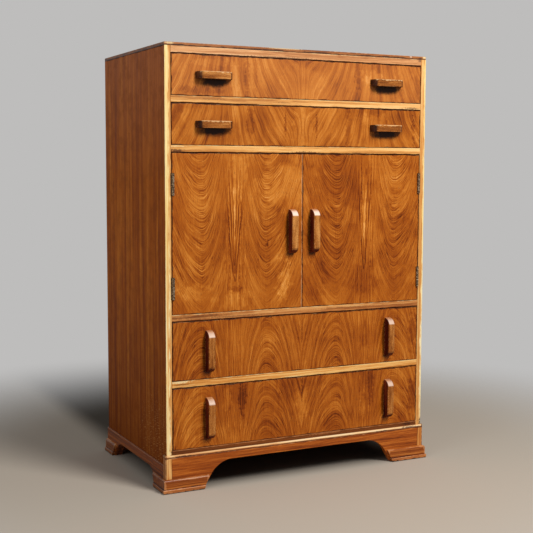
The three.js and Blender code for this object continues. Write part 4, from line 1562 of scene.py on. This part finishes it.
def hinge_leaf(node, sign, on_frame, body, screw):
    """A leaf with its knuckles and screws. The frame's leaf holds the pin too."""
    low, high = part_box(node)
    axis_x = sign * (INNER_X - HINGE_RADIUS)
    axis_y = low.y + HINGE_RADIUS
    z_middle = (low.z + high.z) / 2
    bottom = z_middle - HINGE_HEIGHT / 2
    pitch = HINGE_HEIGHT / HINGE_KNUCKLES
    gap = 0 if on_frame else FIT
    face_x = sign * (INNER_X if on_frame else INNER_X - HINGE_LEAF)
    rear_x = sign * (INNER_X + HINGE_LEAF if on_frame else INNER_X - 2 * HINGE_LEAF)
    plate_front = FRONT_Y if on_frame else axis_y + HINGE_RADIUS + FIT
    if on_frame:
        web_xs = sorted((rear_x, axis_x))
        web_ys = (FRONT_Y, axis_y + HINGE_RADIUS - 0.2 * MM)
    else:
        web_xs = sorted((face_x, rear_x))
        web_ys = (axis_y, plate_front + HINGE_LEAF)
    xs = sorted((face_x, rear_x))
    plate_low = (xs[0], plate_front, bottom)
    plate_high = (xs[1], high.y, bottom + HINGE_HEIGHT)
    parts = [soft_block("plate", plate_low, plate_high, THIN_EDGE, 2)]
    for i in range(0 if on_frame else 1, HINGE_KNUCKLES, 2):
        centre = (axis_x, axis_y, bottom + pitch * (i + 0.5))
        knuckle = round_bar("knuckle", centre, HINGE_RADIUS, pitch - 2 * gap - 0.1 * MM, 32)
        if not on_frame:
            cut(knuckle, rod("bore", centre, PIN_RADIUS + FIT, pitch * 2, 2, 24))
        parts.append(knuckle)
        z_low, z_high = bottom + pitch * i + gap, bottom + pitch * (i + 1) - gap
        web_low, web_high = (web_xs[0], web_ys[0], z_low), (web_xs[1], web_ys[1], z_high)
        parts.append(soft_block("web", web_low, web_high, 0.2 * MM, 1))
    if on_frame:
        centre = (axis_x, axis_y, z_middle)
        parts.append(round_bar("pin", centre, PIN_RADIUS, HINGE_HEIGHT - 0.2 * MM, 20))
    dress(smooth(join(f"{node}_formed", parts), 40), STEEL, body, "aged_steel", node)
    turn = turned(-90 * sign if on_frame else 90 * sign, "Y")
    y_screw = (plate_front + high.y) / 2
    heads = []
    for i, (y_step, z_step) in enumerate(HINGE_SCREW_STEPS):
        spin = turned(25 + 40 * i, "Z")
        place = Vector((face_x, y_screw + y_step * MM, z_middle + z_step * MM))
        heads.append(copy_to(screw, "head", turn @ spin, place))
    dress(join(f"{node}_screws", heads), STEEL, body, "aged_steel")


def hinges():
    screw = screw_form(*HINGE_SCREW)
    for side, sign in SIDES:
        for level in LEVELS:
            hinge_leaf(f"frame_{side}_hinge_leaf_{level}", sign, True, "carcase", screw)
            hinge_leaf(f"door_{side}_hinge_leaf_{level}", sign, False, f"{side}_door", screw)
    remove(screw)


PULL_SCREW = (4.0 * MM, 1.6 * MM)
PULL_SCREW_SPACING = 60 * MM


def pull_screws():
    """Two round-headed screws behind each pull, seen with the front open."""
    form = screw_form(*PULL_SCREW)
    turn = turned(-90, "X")
    rear_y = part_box("drawer_1_front")[1].y
    for node, body, is_upright in pull_rows():
        low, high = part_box(node)
        heads = []
        for k, way in enumerate((-1, 1)):
            place = (low + high) / 2
            place.y = rear_y
            place[2 if is_upright else 0] += way * PULL_SCREW_SPACING / 2
            spin = turned(20 + 55 * k, "Z")
            heads.append(copy_to(form, "head", turn @ spin, place))
        dress(join(f"{node}_screws", heads), STEEL, body, "aged_steel")
    remove(form)


# Studio

FLOOR_RADIUS = 9.0
FLOOR_FADE = (0.75, 1.9)
FLOOR_COLOUR = (190, 180, 167)
# Painted shadow on the floor below the chest
DUST_X = (0.44, 0.32)  # the floor darkens towards the middle below the chest
DUST_Y = (-0.27, -0.16)
DUST_COLOUR = (14, 12, 12)
BACKDROP_COLOUR = (190, 189, 188)
AMBIENT = 0.24
LAMP_AIM = (0.0, -0.2, 0.75)
KEY_PLACE = (0.8, -2.55, 2.9)
KEY_SIZE = 1.2
KEY_POWER = 106
KEY_COLOUR = (1.0, 0.98, 0.94)
FILL_PLACE = (-3.2, -1.7, 1.9)
FILL_SIZE = 2.0
FILL_POWER = 19


def camera():
    data = bpy.data.cameras.new("camera")
    data.sensor_width = SENSOR_WIDTH
    data.lens = FOCAL_PIXELS / PHOTO_SIZE * SENSOR_WIDTH
    data.clip_end = 60
    view = bpy.data.objects.new("camera", data)
    bpy.context.scene.collection.objects.link(view)
    turn = turned(-CAMERA_YAW, "Z") @ turned(90 + CAMERA_PITCH, "X") @ turned(CAMERA_ROLL, "Z")
    view.matrix_world = Matrix.Translation(CAMERA_PLACE) @ turn.to_4x4()
    bpy.context.scene.camera = view


def lamp(name, place, size, power, colour=(1.0, 1.0, 1.0)):
    data = bpy.data.lights.new(name, "AREA")
    data.shape = "DISK"
    data.size = size
    data.energy = power
    data.color = colour
    light = bpy.data.objects.new(name, data)
    bpy.context.scene.collection.objects.link(light)
    light.location = place
    aim = Vector(LAMP_AIM) - Vector(place)
    light.rotation_euler = aim.to_track_quat("-Z", "Y").to_euler()


def floor():
    shape = {"vertices": 96, "radius": FLOOR_RADIUS, "fill_type": "NGON"}
    ground = drawn("floor", bpy.ops.mesh.primitive_circle_add, **shape)
    material = bpy.data.materials.new("pale_floor")
    net = Net(emptied(material))
    place = net.add("ShaderNodeTexCoord", output="Object")
    x, y, _ = net.parts(place)
    # painted shadow below the chest
    dust = net.range(abs(x), *DUST_X) * net.range(y, *DUST_Y)
    colour = net.blend(dust * 0.8, shade(*FLOOR_COLOUR), shade(*DUST_COLOUR))
    surface = net.add("ShaderNodeBsdfDiffuse", {"Color": colour})
    clear = net.add("ShaderNodeBsdfTransparent")
    fade = net.range(net.length(place), *FLOOR_FADE)
    mixed = net.add("ShaderNodeMixShader", {0: fade, 1: surface, 2: clear})
    net.node("ShaderNodeOutputMaterial", {0: mixed})
    ground.data.materials.append(material)
    ground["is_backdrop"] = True


def world():
    surroundings = bpy.data.worlds.new("studio")
    net = Net(emptied(surroundings))
    seen = net.add("ShaderNodeLightPath", output="Is Camera Ray")
    for kind in ("Is Glossy Ray", "Is Transmission Ray"):
        seen = net.math("MAXIMUM", seen, net.add("ShaderNodeLightPath", output=kind))
    light = net.add("ShaderNodeBackground", {0: (1, 1, 1, 1), 1: AMBIENT})
    backdrop = net.add("ShaderNodeBackground", {0: shade(*BACKDROP_COLOUR), 1: 1.0})
    mixed = net.add("ShaderNodeMixShader", {0: seen, 1: light, 2: backdrop})
    net.node("ShaderNodeOutputWorld", {0: mixed})
    bpy.context.scene.world = surroundings


camera()
floor()
world()
lamp("key", KEY_PLACE, KEY_SIZE, KEY_POWER, KEY_COLOUR)
lamp("fill", FILL_PLACE, FILL_SIZE, FILL_POWER)
for side_name, side_sign in SIDES:
    side_board(side_name, side_sign)
    door(side_name, side_sign)
    foot_moulding(f"foot_moulding_front_{side_name}", True, side_sign)
    foot_moulding(f"foot_moulding_back_{side_name}", False, side_sign)
for board in RAIL_COLOURS:
    lipped_board(board)
top_board()
back_panel()
plinth_front()
plinth_sides()
plinth_bead()
refinish("plinth_back", BOARD_INSIDE)
refinish("cupboard_shelf", BOARD_INSIDE)
for drawer_number in DRAWERS:
    drawer(drawer_number)
pulls()
hinges()
pull_screws()

bpy.context.scene.view_settings.view_transform = "Standard"

low_corner, high_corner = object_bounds()
sizes = {
    "cad": [list(cad_low), list(cad_high)],
    "visual": [list(low_corner), list(high_corner)],
}
